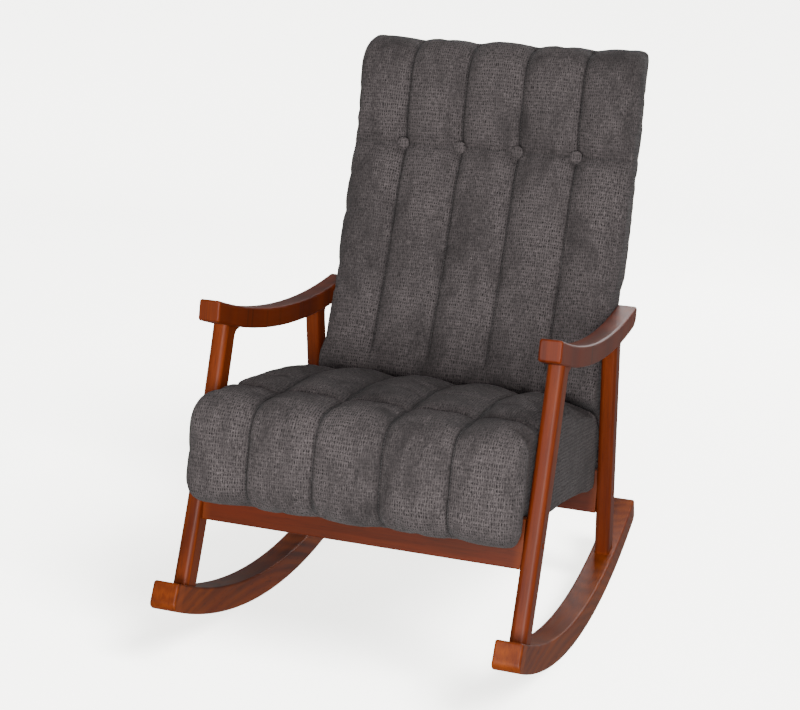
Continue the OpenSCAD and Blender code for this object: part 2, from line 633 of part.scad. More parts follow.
// ---- back unit ---------------------------------------------------------------------------------
back_waist = 98;           // thickness of the back between the headrest and the arms
function skin_y(z) = frame_back_y(z) + frame_skin;
function back_points() = [
  [skin_y(stile_foot_z), stile_foot_z - 4, 3],
  [skin_y(kink_z), kink_z, 260],
  [skin_y(back_top_z), back_top_z, 20],
  [skin_y(back_top_z) - head_thick - 6, back_top_z - 10, 78],
  [skin_y(button_z + 52) - head_thick, button_z + 52, 50],
  [button_y - 2, button_z, 16],
  [skin_y(button_z - 62) - back_waist + 8, button_z - 62, 60],
  [skin_y(615) - 110, 615, 240],
  [skin_y(510) - 130, 510, 160],
  [skin_y(seat_crown_z) - 152, seat_crown_z - 36, 14],
  [seat_rear_y - 33, seat_crown_z - 60, 8],
  [back_low_y, seat_crown_z - 84, 6],
  [back_low_y, lap_z + 2, 0],
  [rear_rail_back + soft_gap / 2, lap_z - 1, 0],
  [rear_rail_back + soft_gap / 2, stile_foot_z - 4, 0]
];
module back_outline(inset) {
  if (inset > 0) offset(delta = -inset) polygon(rounded(back_points()));
  else polygon(rounded(back_points()));
}
// Everything in front of the wooden back frame, above the seat
module back_padding_zone() {
  gap = 4;
  low = seat_crown_z - 66;
  high = back_top_z + 10;
  polygon([[0, low], [frame_back_y(low) - stile_depth - gap, low],
           [frame_back_y(kink_z) - stile_depth - gap, kink_z],
           [frame_back_y(high) - stile_depth - gap, high], [0, high]]);
}
module back_cover() color(fabric) at_rest() difference() {
  across(0, 2 * back_half) back_outline(0);
  across(0, 2 * (back_half - cover_t)) back_outline(cover_t);
  for (s = [-1, 1]) {
    back_bolt_hole_long(s);
    scale_x(s) rod_x(stile_x, back_half + over, arm_bolt_y, arm_bolt_z, bolt_d + 2 * bolt_room);
  }
  for (x = button_xs) rod_y(x, button_y - 60, button_y + 14, button_z, twine_hole_d);
}
module back_bolt_hole_long(s)
  rod_y(s * back_bolt_x, rear_rail_back, stile_lap_y + over, back_bolt_z, bolt_d + 2 * bolt_room);
module back_wadding() color("ghostwhite") at_rest() difference() {
  across(0, 2 * (back_half - cover_t - 0.1)) intersection() {
    back_outline(cover_t + 0.1);
    back_padding_zone();
  }
  across(0, 2 * (back_half - cover_t - wadding_t)) back_outline(cover_t + wadding_t);
  for (x = button_xs) rod_y(x, button_y - 60, button_y + 60, button_z, twine_hole_d);
}
module back_foam() color("khaki") at_rest() difference() {
  across(0, 2 * (back_half - cover_t - wadding_t - 0.1)) intersection() {
    back_outline(cover_t + wadding_t + 0.1);
    back_padding_zone();
  }
  for (x = button_xs) rod_y(x, button_y - 60, button_y + 90, button_z, twine_hole_d);
}

module stile_outline() polygon([
  [stile_lap_y, stile_foot_z], [stile_lap_y, stile_lap_z],
  [frame_back_y(stile_lap_z) - stile_depth, stile_lap_z],
  [frame_back_y(kink_z) - stile_depth, kink_z],
  [frame_back_y(stile_top_z) - stile_depth, stile_top_z],
  [frame_back_y(stile_top_z), stile_top_z],
  [frame_back_y(kink_z), kink_z], [frame_back_y(stile_foot_z), stile_foot_z]]);
module stile(s) color(beech) at_rest() difference() {
  across(s * stile_x, stile_width) stile_outline();
  back_frame_dowel_set(dowel_room);
  scale_x(s) rod_x(stile_outer_x - insert_l - 4, stile_outer_x + over, arm_bolt_y, arm_bolt_z,
                   nut_d + 2 * bolt_room);
  rod_y(s * back_bolt_x, stile_lap_y - over, stile_lap_y + back_insert_l + 3, back_bolt_z,
        nut_d + 2 * bolt_room);
}
// Cross rails of the back frame: [height of the lower edge, height, thickness]
cross_thick = 22;
top_rail_h = 60;
cross_rail_h = 48;
top_rail_z = stile_top_z - top_rail_h - 2;
middle_rail_z = button_z - cross_rail_h / 2;
waist_rail_z = seat_crown_z + 10;
bottom_rail_z = stile_foot_z;
module back_rail(z, h) {
  inner = stile_inner_x - glue_gap;
  across(0, 2 * inner) polygon([
    [frame_back_y(z) - cross_thick, z], [frame_back_y(z), z],
    [frame_back_y(z + h), z + h], [frame_back_y(z + h) - cross_thick, z + h]]);
}
module back_rail_dowel_pair(z, h, room) for (s = [-1, 1], k = [0.28, 0.72])
  scale_x(s) rod_x(stile_inner_x - dowel_l / 2 - room, stile_inner_x + dowel_l / 2 + room,
                   frame_back_y(z + h * k) - cross_thick / 2, z + h * k, dowel_d + 2 * room);
module back_frame_dowel_set(room) {
  back_rail_dowel_pair(top_rail_z, top_rail_h, room);
  back_rail_dowel_pair(middle_rail_z, cross_rail_h, room);
  back_rail_dowel_pair(waist_rail_z, cross_rail_h, room);
  back_rail_dowel_pair(bottom_rail_z, cross_rail_h, room);
}
module back_top_rail() color(beech) at_rest() difference() {
  back_rail(top_rail_z, top_rail_h);
  back_frame_dowel_set(dowel_room);
}
module back_middle_rail() color(beech) at_rest() difference() {
  back_rail(middle_rail_z, cross_rail_h);
  back_frame_dowel_set(dowel_room);
  for (x = button_xs) rod_y(x, button_y, button_y + 140, button_z, twine_hole_d);
}
module back_waist_rail() color(beech) at_rest() difference() {
  back_rail(waist_rail_z, cross_rail_h);
  back_frame_dowel_set(dowel_room);
}
module back_bottom_rail() color(beech) at_rest() difference() {
  back_rail(bottom_rail_z, cross_rail_h);
  back_frame_dowel_set(dowel_room);
}
module back_frame_dowels() color(beech) at_rest() back_frame_dowel_set(0);

// Elastic straps stapled across the fronts of the stiles
strap_w = 50;
strap_t = 2;
strap_count = 6;
module back_webbing() color("tan") at_rest() {
  low = kink_z + 14;
  high = stile_top_z - strap_w - 10;
  for (i = [0 : strap_count - 1]) {
    z = low + (high - low) * i / (strap_count - 1);
    difference() {
      across(0, 2 * stile_outer_x - 8) polygon([
        [frame_back_y(z) - stile_depth - glue_gap - strap_t, z],
        [frame_back_y(z) - stile_depth - glue_gap, z],
        [frame_back_y(z + strap_w) - stile_depth - glue_gap, z + strap_w],
        [frame_back_y(z + strap_w) - stile_depth - glue_gap - strap_t, z + strap_w]]);
      for (x = button_xs) rod_y(x, button_y - over, button_y + 90, button_z, twine_hole_d);
    }
  }
}

// Covered buttons: a domed cap with its flat side on the cover
twine_d = 2;
twine_hole_d = twine_d + 1;
button_h = 8;
button_lift = 6;           // from the bottom of the cross seam to a button's flat side
module back_buttons() color(fabric) at_rest() for (x = button_xs) {
  dome_r = (pow(button_d / 2, 2) + pow(button_h, 2)) / (2 * button_h);
  translate([x, button_y - button_lift, button_z]) rotate([90, 0, 0]) intersection() {
    translate([0, 0, button_h - dome_r]) sphere(dome_r, $fn = 64);
    cylinder(d = button_d - 1, h = button_h);
  }
}
// Twine from each button through the padding to the middle rail
module button_twine() color("white") at_rest() for (x = button_xs)
  rod_y(x, button_y - button_lift + glue_gap, frame_back_y(button_z) - 1, button_z, twine_d);

rocker(1);  // left_rocker
rocker(-1);  // right_rocker
front_leg(1);  // left_front_leg
front_leg(-1);  // right_front_leg
rear_leg(1);  // left_rear_leg
rear_leg(-1);  // right_rear_leg
arm(1);  // left_arm
arm(-1);  // right_arm
front_rail();
rear_rail();
leg_dowels();
rail_dowels();
rail_bolts();
barrel_nuts();
arm_bolts();
arm_insert_nuts();
back_bolts();
back_insert_nuts();
seat_front_board();
seat_rear_board();
seat_side_board(1);  // seat_left_board
seat_side_board(-1);  // seat_right_board
seat_board_dowels();
seat_corner_blocks();
seat_springs();
seat_spring_clips();
seat_foam();
seat_wadding();
seat_cover();
seat_dust_cover();
seat_screws();
stile(1);  // back_left_stile
stile(-1);  // back_right_stile
back_top_rail();
back_middle_rail();
back_waist_rail();
back_bottom_rail();
back_frame_dowels();
back_webbing();
back_foam();
back_wadding();
back_cover();
back_buttons();
button_twine();
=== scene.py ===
"""Looks of the upholstered rocking chair.

Every shape is laid out in the seat-level side view (millimetres, y to the back, z up) and
then leaned back with the rest of the chair by ``Stance``, so that it lands on its solids.
"""
import logging
import math
from dataclasses import dataclass, field
from enum import Enum
from typing import Callable, Iterable, Sequence

import bmesh
import bpy
import numpy as np
from mathutils import Matrix, Vector
from mathutils.bvhtree import BVHTree


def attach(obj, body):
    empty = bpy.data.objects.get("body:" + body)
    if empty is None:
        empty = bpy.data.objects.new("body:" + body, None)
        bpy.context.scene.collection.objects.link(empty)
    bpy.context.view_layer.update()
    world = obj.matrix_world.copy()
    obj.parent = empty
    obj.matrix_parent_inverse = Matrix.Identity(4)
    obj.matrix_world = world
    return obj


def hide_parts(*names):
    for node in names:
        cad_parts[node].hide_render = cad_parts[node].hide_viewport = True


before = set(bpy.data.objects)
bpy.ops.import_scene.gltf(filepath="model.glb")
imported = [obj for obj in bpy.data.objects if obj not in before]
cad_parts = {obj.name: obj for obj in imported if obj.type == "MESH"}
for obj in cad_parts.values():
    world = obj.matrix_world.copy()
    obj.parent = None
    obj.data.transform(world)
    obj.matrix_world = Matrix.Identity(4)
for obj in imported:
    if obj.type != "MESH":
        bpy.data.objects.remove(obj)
logging.basicConfig(level=logging.INFO, format="%(message)s")
LOG = logging.getLogger("rocking_chair")
Array = np.ndarray
MM = 0.001


# ---- stance and small helpers -------------------------------------------------------
@dataclass(frozen=True)
class Stance:
    """How the seat-level drawing stands on the floor."""

    lean_deg: float = 9.4
    hub_y: float = 232.0
    hub_z: float = 1110.0
    shift_y: float = 47.92

    def world(self, points: Array) -> Array:
        """Lean drawn points (mm) back and return them in metres.

        Args:
            points: rows of x, y, z in the seat-level drawing.

        Returns:
            The same rows in the shared frame.
        """
        c, s = math.cos(math.radians(self.lean_deg)), math.sin(math.radians(self.lean_deg))
        p = np.atleast_2d(points).astype(float)
        y, z = p[:, 1] - self.hub_y, p[:, 2] - self.hub_z
        return np.stack([p[:, 0], y * c + z * s + self.shift_y, self.hub_z - y * s + z * c], 1) * MM

    def turn(self, vectors: Array) -> Array:
        """Lean directions back without moving them."""
        c, s = math.cos(math.radians(self.lean_deg)), math.sin(math.radians(self.lean_deg))
        v = np.atleast_2d(vectors).astype(float)
        return np.stack([v[:, 0], v[:, 1] * c + v[:, 2] * s, -v[:, 1] * s + v[:, 2] * c], 1)


STANCE = Stance()


class Side(Enum):
    """The sitter's left and right."""

    LEFT = 1
    RIGHT = -1


def unit(v: Sequence[float]) -> Array:
    """Return v at length one."""
    a = np.asarray(v, float)
    return a / np.linalg.norm(a)


def smoothstep(lo: float, hi: float, x: Array) -> Array:
    """Blend from 0 at lo to 1 at hi with level ends."""
    t = np.clip((np.asarray(x, float) - lo) / (hi - lo), 0, 1)
    return t * t * (3 - 2 * t)


def rounded(corners: Sequence[tuple[float, float, float]], step: float = 4.0) -> Array:
    """Round the corners of a closed side-view outline.

    Args:
        corners: y, z and radius of each corner, in order round the outline.
        step: longest piece of an arc, in millimetres.

    Returns:
        Points round the outline.
    """
    out: list[Array] = []
    n = len(corners)
    for i, (y, z, r) in enumerate(corners):
        p = np.array([y, z])
        if r <= 0:
            out.append(p)
            continue
        u = unit(np.array(corners[i - 1][:2]) - p)
        v = unit(np.array(corners[(i + 1) % n][:2]) - p)
        half = math.acos(float(np.clip(u @ v, -1, 1))) / 2
        centre = p + unit(u + v) * r / math.sin(half)
        a, b = p + u * r / math.tan(half) - centre, p + v * r / math.tan(half) - centre
        turn = math.pi - 2 * half
        way = 1 if a[0] * b[1] - a[1] * b[0] > 0 else -1
        count = max(3, int(turn * r / step))
        for k in range(count + 1):
            t = way * turn * k / count
            out.append(centre + np.array([a[0] * math.cos(t) - a[1] * math.sin(t),
                                          a[0] * math.sin(t) + a[1] * math.cos(t)]))
    return np.array(out)


def resampled(outline: Array, step: float) -> Array:
    """Return a closed outline cut into equal steps of about the given length."""
    closed = np.vstack([outline, outline[:1]])
    run = np.concatenate([[0], np.cumsum(np.linalg.norm(np.diff(closed, axis=0), axis=1))])
    count = int(run[-1] / step)
    at = np.linspace(0, run[-1], count, endpoint=False)
    return np.stack([np.interp(at, run, closed[:, k]) for k in (0, 1)], 1)


def mesh_object(name: str, points: Array, faces: Iterable[Sequence[int]]) -> bpy.types.Object:
    """Make a mesh object from points in metres and link it to the scene."""
    mesh = bpy.data.meshes.new(name)
    mesh.from_pydata([tuple(p) for p in points], [], [tuple(f) for f in faces])
    mesh.validate()
    obj = bpy.data.objects.new(name, mesh)
    bpy.context.scene.collection.objects.link(obj)
    return obj


def baked(obj: bpy.types.Object) -> bpy.types.Object:
    """Turn an object's modifiers into plain mesh and remove them."""
    graph = bpy.context.evaluated_depsgraph_get()
    graph.update()
    mesh = bpy.data.meshes.new_from_object(obj.evaluated_get(graph), depsgraph=graph)
    old = obj.data
    obj.modifiers.clear()
    obj.data = mesh
    if old.users == 0 and isinstance(old, bpy.types.Mesh):
        bpy.data.meshes.remove(old)
    return obj


def outward(obj: bpy.types.Object) -> None:
    """Point all faces of a closed mesh outwards."""
    bm = bmesh.new()
    bm.from_mesh(obj.data)
    bmesh.ops.recalc_face_normals(bm, faces=bm.faces)
    bm.to_mesh(obj.data)
    bm.free()


def soften(obj: bpy.types.Object, angle: float = 32.0, weighted: bool = True) -> None:
    """Shade a mesh smooth, with its sharp turns kept and its flats kept flat."""
    obj.data.shade_smooth()
    obj.data.set_sharp_from_angle(angle=math.radians(angle))
    if weighted:
        mod = obj.modifiers.new("flats", "WEIGHTED_NORMAL")
        mod.keep_sharp = True
        mod.weight = 60


def coords(obj: bpy.types.Object) -> Array:
    """Return an object's mesh points as rows."""
    out = np.empty(len(obj.data.vertices) * 3, np.float64)
    obj.data.vertices.foreach_get("co", out)
    return out.reshape(-1, 3)


def set_coords(obj: bpy.types.Object, points: Array) -> None:
    """Write rows of points back to an object's mesh."""
    obj.data.vertices.foreach_set("co", np.ascontiguousarray(points, np.float64).ravel())
    obj.data.update()


def point_normals(obj: bpy.types.Object) -> Array:
    """Return the normal at each point of a mesh."""
    out = np.empty(len(obj.data.vertices) * 3, np.float32)
    obj.data.vertex_normals.foreach_get("vector", out)
    return out.reshape(-1, 3).astype(float)


def vector_attribute(obj: bpy.types.Object, name: str, values: Array) -> None:
    """Store one vector at each point of a mesh for its material to read."""
    att = obj.data.attributes.get(name) or obj.data.attributes.new(name, "FLOAT_VECTOR", "POINT")
    att.data.foreach_set("vector", np.ascontiguousarray(values, np.float32).ravel())


# ---- finishes ---------------------------------------------------------------------------
class Shade:
    """A material's node tree, built up a node at a time."""

    def __init__(self, name: str) -> None:
        """Start a material with one Principled shader."""
        self.material = bpy.data.materials.new(name)
        self.material.use_nodes = True
        self.tree = self.material.node_tree
        self.shader = self.tree.nodes["Principled BSDF"]

    def add(self, kind: str, values: dict | None = None, **props) -> bpy.types.Node:
        """Add a node.

        Args:
            kind: node type without its ShaderNode prefix.
            values: input values by socket name or number.
            **props: node properties.

        Returns:
            The new node.
        """
        node = self.tree.nodes.new("ShaderNode" + kind)
        for key, value in props.items():
            setattr(node, key, value)
        for key, value in (values or {}).items():
            self.put(node.inputs[key], value)
        return node

    def put(self, socket: bpy.types.NodeSocket, value) -> None:
        """Link a socket to another socket, or set its value."""
        if isinstance(value, bpy.types.NodeSocket):
            self.tree.links.new(value, socket)
        else:
            socket.default_value = value

    def math(self, operation: str, a, b=0.0, clamp: bool = False) -> bpy.types.NodeSocket:
        """Return the result of a math node on two values or sockets."""
        return self.add("Math", {0: a, 1: b}, operation=operation, use_clamp=clamp).outputs[0]

    def remap(self, value, lo: float, hi: float, to_lo: float = 0.0,
              to_hi: float = 1.0) -> bpy.types.NodeSocket:
        """Return value moved from one range to another, clamped."""
        node = self.add("MapRange", {0: value, 1: lo, 2: hi, 3: to_lo, 4: to_hi})
        return node.outputs[0]

    def mix(self, share, a, b, blend: str = "MIX") -> bpy.types.NodeSocket:
        """Return a blend of two colours."""
        node = self.add("Mix", data_type="RGBA", blend_type=blend)
        self.put(node.inputs[0], share)
        self.put(node.inputs[6], a)
        self.put(node.inputs[7], b)
        return node.outputs[2]

    def place(self, source, scale: Sequence[float],
              shift: Sequence[float] = (0, 0, 0)) -> bpy.types.NodeSocket:
        """Return coordinates scaled and shifted."""
        return self.add("Mapping", {0: source, 1: tuple(shift), 3: tuple(scale)}).outputs[0]

    def noise(self, where, scale: float, detail: float = 3.0, rough: float = 0.55,
              warp: float = 0.0) -> bpy.types.NodeSocket:
        """Return smooth noise."""
        return self.add("TexNoise", {"Vector": where, "Scale": scale, "Detail": detail,
                                     "Roughness": rough, "Distortion": warp}).outputs[0]

    def bump(self, height, strength: float, distance: float, under=None) -> bpy.types.NodeSocket:
        """Return a normal from a height."""
        node = self.add("Bump", {"Strength": strength, "Distance": distance, "Height": height})
        if under is not None:
            self.put(node.inputs["Normal"], under)
        return node.outputs[0]

    def finish(self, color, roughness, normal=None, **plain: float) -> bpy.types.Material:
        """Wire the shader and return the material."""
        self.put(self.shader.inputs["Base Color"], color)
        self.put(self.shader.inputs["Roughness"], roughness)
        if normal is not None:
            self.put(self.shader.inputs["Normal"], normal)
        for key, value in plain.items():
            self.shader.inputs[key.replace("_", " ")].default_value = value
        return self.material


def linear(red: int, green: int, blue: int) -> tuple[float, float, float, float]:
    """Return a screen colour (0 to 255) as linear light."""
    def one(c: int) -> float:
        """Return one channel as linear light."""
        s = c / 255
        return s / 12.92 if s <= 0.04045 else ((s + 0.055) / 1.055) ** 2.4
    return one(red), one(green), one(blue), 1.0


@dataclass(frozen=True)
class LacquerFinish:
    """Red-brown stained wood under satin lacquer; reads the piece's own grain directions."""

    name: str
    pale: tuple[int, int, int] = (160, 75, 9)
    deep: tuple[int, int, int] = (68, 20, 3)
    shift: float = 0.0

    def material(self) -> bpy.types.Material:
        """Build the material."""
        s = Shade(self.name)
        grain = s.add("Attribute", attribute_name="grain").outputs["Vector"]
        at = s.add("VectorMath", {0: grain, 1: (self.shift, self.shift * 0.7, self.shift * 1.3)},
                   operation="ADD").outputs[0]
        broad = s.noise(s.place(at, (1.6, 14, 14)), 1.0, 3.0, 0.5, 0.6)
        rings = s.add("TexWave", {"Vector": s.place(at, (0.9, 16, 22)), "Scale": 2.2, "Distortion": 5.5,
                                  "Detail": 3.0, "Detail Scale": 1.1, "Detail Roughness": 0.6},
                      wave_type="BANDS", bands_direction="Z", wave_profile="SIN").outputs["Fac"]
        fibre = s.noise(s.place(at, (9, 420, 420)), 1.0, 3.0, 0.6)
        pores = s.remap(s.noise(s.place(at, (45, 1100, 1100)), 1.0, 1.0, 0.5), 0.62, 0.74)
        blotch = s.noise(s.place(at, (5, 30, 30)), 1.0, 2.0, 0.5)
        tone = s.math("ADD", s.math("MULTIPLY", broad, 0.62), s.math("MULTIPLY", rings, 0.09))
        tone = s.math("ADD", tone, s.math("MULTIPLY", fibre, 0.26))
        body = s.mix(s.remap(tone, 0.32, 0.74), linear(*self.deep), linear(*self.pale))
        warm = s.mix(s.remap(blotch, 0.35, 0.7, 0.0, 0.5), body, linear(104, 34, 5))
        dark = s.mix(s.math("MULTIPLY", pores, 0.45), warm, linear(40, 14, 6))
        # Sharp convex edges, found by pointiness, are blended towards a paler wood colour.
        bevel = s.add("NewGeometry").outputs["Pointiness"]
        paler_edges = s.mix(s.remap(bevel, 0.53, 0.60, 0.0, 0.35), dark, linear(160, 74, 16))
        rough = s.math("ADD", s.math("MULTIPLY", fibre, 0.14), s.math("MULTIPLY", broad, 0.1))
        rough = s.math("ADD", rough, 0.36)
        fine = s.bump(s.math("SUBTRACT", fibre, s.math("MULTIPLY", pores, 0.5)), 0.10, 0.0006)
        wave = s.bump(s.noise(s.place(at, (3, 22, 22)), 1.0, 1.0), 0.10, 0.003, fine)
        return s.finish(paler_edges, rough, wave, Coat_Weight=0.03, Coat_Roughness=0.45, Specular_IOR_Level=0.2)


@dataclass(frozen=True)
class ChenilleFinish:
    """Dark grey chenille: a crossed open weave with darker patches of nap, partly the pile lying another way
    and partly painted sheen; its seam lines carry painted shade.
    """

    name: str = "grey_chenille"
    warp_pitch: float = 0.0040
    weft_pitch: float = 0.0064
    pale: tuple[int, int, int] = (107, 99, 99)
    dark: tuple[int, int, int] = (8, 8, 8)

    def weave(self, s: Shade, uv: bpy.types.NodeSocket, turn: float) -> bpy.types.NodeSocket:
        """Return how far a point lies on a thread of one direction.

        Args:
            s: the material being built.
            uv: cloth coordinates in metres.
            turn: 0 for threads across the cloth, 1 for threads along it.

        Returns:
            Thread height from 0 in the gap to 1 on the crown.
        """
        across = 1 - turn
        wander = s.noise(s.place(uv, (30 + 90 * turn, 30 + 90 * across, 1)), 1.0, 2.0)
        axis = s.add("SeparateXYZ", {0: uv}).outputs[int(across)]
        pitch = self.warp_pitch if turn else self.weft_pitch
        line = s.math("ADD", s.math("MULTIPLY", axis, 2 * math.pi / pitch),
                      s.math("MULTIPLY", wander, 9.0))
        return s.math("ADD", s.math("MULTIPLY", s.math("SINE", line), 0.5), 0.5)

    def material(self) -> bpy.types.Material:
        """Build the material."""
        s = Shade(self.name)
        uv = s.add("UVMap", uv_map="cloth").outputs[0]
        obj = s.add("TexCoord").outputs["Object"]
        warp = self.weave(s, uv, 1.0)
        weft = self.weave(s, uv, 0.0)
        gaps = s.math("MULTIPLY", s.math("SUBTRACT", 1.0, warp),
                      s.math("POWER", s.math("SUBTRACT", 1.0, weft), 0.5))
        slub = s.noise(s.place(uv, (900, 110, 1)), 1.0, 2.0, 0.6)
        slub_b = s.noise(s.place(uv, (150, 900, 1)), 1.0, 2.0, 0.6)
        tuft = s.noise(uv, 1500.0, 2.0, 0.7)
        nap_wide = s.noise(s.place(obj, (9, 6, 4.5)), 1.0, 3.0, 0.55, 0.3)
        nap_fine = s.noise(s.place(obj, (46, 30, 16), (3, 1, 2)), 1.0, 4.0, 0.6, 0.4)
        nap = s.remap(s.math("ADD", s.math("MULTIPLY", nap_wide, 0.6), s.math("MULTIPLY", nap_fine, 0.5)),
                      0.47, 0.70)
        loose = s.remap(s.noise(s.place(uv, (240, 130, 1)), 1.0, 2.0, 0.6), 0.36, 0.58, 0.2, 1.0)
        open_share = s.math("SUBTRACT", 1.0, s.math("MULTIPLY", nap, 0.7))
        pinholes = s.math("MULTIPLY", s.remap(gaps, 0.36, 0.80), s.math("MULTIPLY", open_share, loose))
        thread = s.math("ADD", s.math("MULTIPLY", slub, 0.58), s.math("MULTIPLY", slub_b, 0.42))
        tone = s.remap(thread, 0.38, 0.62, 0.10, 1.0)
        body = s.mix(tone, linear(44, 41, 41), linear(*self.pale))
        # Painted sheen: darker patches where the nap lies another way, partly the pile's own tone and partly
        # the change of sheen painted into the colour.
        nap_and_sheen = s.mix(s.math("MULTIPLY", nap, 0.62), body, linear(26, 24, 24))
        color = s.mix(s.math("MULTIPLY", pinholes, 0.95), nap_and_sheen, linear(*self.dark))
        flecks = s.mix(s.remap(tuft, 0.58, 0.76, 0.0, 0.3), color, linear(122, 115, 114))
        # Painted shade: along the seam lines the cover is blended towards near black, for the shade held in
        # the sewn creases.
        seam = s.add("Attribute", attribute_name="seam").outputs["Fac"]
        sewn = s.mix(s.math("MULTIPLY", seam, 0.8), flecks, linear(*self.dark))
        height = s.math("ADD", s.math("MULTIPLY", s.math("MAXIMUM", warp, weft), 0.7),
                        s.math("MULTIPLY", tuft, 0.45))
        height = s.math("SUBTRACT", height, s.math("MULTIPLY", pinholes, 0.5))
        return s.finish(sewn, s.remap(nap, 0.0, 1.0, 0.93, 0.80), s.bump(height, 0.55, 0.0011),
                        Sheen_Weight=0.05, Sheen_Roughness=0.5, Specular_IOR_Level=0.12)


@dataclass(frozen=True)
class PlainFinish:
    """A simple surface with fine speckle, for metal, timber, foam and cloth that is mostly hidden."""

    name: str
    tint: tuple[int, int, int]
    speckle: float = 200.0
    contrast: float = 0.25
    roughness: float = 0.6
    metallic: float = 0.0
    stretch: tuple[float, float, float] = (1, 1, 1)

    def material(self) -> bpy.types.Material:
        """Build the material."""
        s = Shade(self.name)
        at = s.place(s.add("TexCoord").outputs["Object"], self.stretch)
        mottle = s.noise(at, self.speckle, 4.0, 0.6)
        broad = s.noise(at, self.speckle * 0.07, 2.0, 0.5)
        tint = linear(*self.tint)
        low = tuple(c * (1 - self.contrast) for c in tint[:3]) + (1.0,)
        high = tuple(min(1.0, c * (1 + self.contrast)) for c in tint[:3]) + (1.0,)
        color = s.mix(s.remap(s.math("ADD", s.math("MULTIPLY", mottle, 0.6), s.math("MULTIPLY", broad, 0.4)),
                              0.35, 0.65), low, high)
        rough = s.remap(mottle, 0.3, 0.7, self.roughness - 0.06, self.roughness + 0.06)
        return s.finish(color, rough, s.bump(mottle, 0.2, 0.0006), Metallic=self.metallic)


@dataclass(frozen=True)
class ThreadFinish:
    """Dark sewing thread with a light twist."""

    name: str = "sewing_thread"

    def material(self) -> bpy.types.Material:
        """Build the material."""
        s = Shade(self.name)
        at = s.add("TexCoord").outputs["Object"]
        twist = s.add("TexWave", {"Vector": at, "Scale": 500.0, "Distortion": 1.0},
                      wave_type="BANDS", bands_direction="DIAGONAL").outputs["Fac"]
        color = s.mix(twist, linear(30, 28, 28), linear(58, 54, 54))
        return s.finish(color, 0.8, s.bump(twist, 0.3, 0.0003), Sheen_Weight=0.2)


# ---- lofted wood ---------------------------------------------------------------------------
def round_drop(radius: float, distance: float) -> float:
    """Return how far a rounded corner falls at a distance from the end."""
    if distance >= radius:
        return 0.0
    return radius - math.sqrt(max(radius ** 2 - (radius - distance) ** 2, 0.0))


def end_steps(radius: float, count: int = 6) -> list[float]:
    """Return distances from an end that follow a rounding of the given radius."""
    return [radius * (1 - math.cos(math.pi / 2 * k / count)) for k in range(count + 1)]


@dataclass
class Stick:
    """A wooden member swept along its length as rings of rounded rectangles.

    Args:
        name: name of the piece.
        stations: y-z points of the A edge and the B edge, with the width, at each ring.
        grain: turns drawn points into lengths along, across and through the grain, in metres.
        radii: corner rounding at the A edge and at the B edge.
        x: centre plane.
    """

    name: str
    stations: list[tuple[Array, Array, float]]
    grain: Callable[[Array], Array]
    radii: tuple[float, float] = (5.0, 5.0)
    x: float = 0.0
    corner_steps: int = 5
    holes: list[tuple[float, float]] = field(default_factory=list)

    def ring(self, a: Array, b: Array, width: float) -> Array:
        """Return the points of one ring."""
        high = float(np.linalg.norm(b - a))
        down = (b - a) / high
        pts: list[list[float]] = []
        n = self.corner_steps
        corners = ((1, 0, self.radii[0], 0), (1, 1, self.radii[1], 90),
                   (-1, 1, self.radii[1], 180), (-1, 0, self.radii[0], 270))
        for sx, end, radius, start in corners:
            r = min(radius, width / 2 - 0.2, high / 2 - 0.2)
            cx, cv = sx * (width / 2 - r), (high - r if end else r)
            for k in range(n + 1):
                t = math.radians(start + 90 * k / n)
                pts.append([cx + r * math.sin(t), cv - r * math.cos(t)])
        local = np.array(pts)
        side = a[None, :] + local[:, 1:2] * down[None, :]
        return np.column_stack([self.x + local[:, 0], side])

    def build(self, shape_ends: Callable[[Array, int], Array] | None = None) -> bpy.types.Object:
        """Build the mesh.

        Args:
            shape_ends: moves the points of the first (0) and last (-1) ring, such as a cope.

        Returns:
            The piece in the shared frame.
        """
        rings = [self.ring(*s) for s in self.stations]
        if shape_ends is not None:
            rings[0], rings[-1] = shape_ends(rings[0], 0), shape_ends(rings[-1], -1)
        n = len(rings[0])
        drawn = np.vstack(rings)
        faces: list[list[int]] = [list(range(n))[::-1], list(range(len(drawn) - n, len(drawn)))]
        for r in range(len(rings) - 1):
            for k in range(n):
                j = (k + 1) % n
                faces.append([r * n + k, r * n + j, (r + 1) * n + j, (r + 1) * n + k])
        obj = mesh_object(self.name, drawn * MM, faces)
        outward(obj)
        for y, z in self.holes:
            self.bore(obj, y, z)
        drawn = coords(obj) / MM
        vector_attribute(obj, "grain", self.grain(drawn))
        set_coords(obj, STANCE.world(drawn))
        soften(obj)
        return obj

    def bore(self, obj: bpy.types.Object, y: float, z: float, radius: float = 5.5,
             deep: float = 8.0) -> None:
        """Sink a bolt recess into the outer face."""
        way = 1 if self.x > 0 else -1
        widest = max(s[2] for s in self.stations)
        face = self.x + way * widest / 2
        turn = np.linspace(0, 2 * math.pi, 28, endpoint=False)
        rim = np.column_stack([np.zeros(28), y + radius * np.cos(turn), z + radius * np.sin(turn)])
        deepest, outside = rim.copy(), rim.copy()
        deepest[:, 0], outside[:, 0] = face - way * deep, face + way * 6
        faces: list[list[int]] = [list(range(28)), list(range(28, 56))[::-1]]
        faces += [[k, 28 + k, 28 + (k + 1) % 28, (k + 1) % 28] for k in range(28)]
        cutter = mesh_object("cutter", np.vstack([deepest, outside]) * MM, faces)
        outward(cutter)
        mod = obj.modifiers.new("recess", "BOOLEAN")
        mod.operation, mod.solver, mod.object = "DIFFERENCE", "EXACT", cutter
        baked(obj)
        bpy.data.objects.remove(cutter)


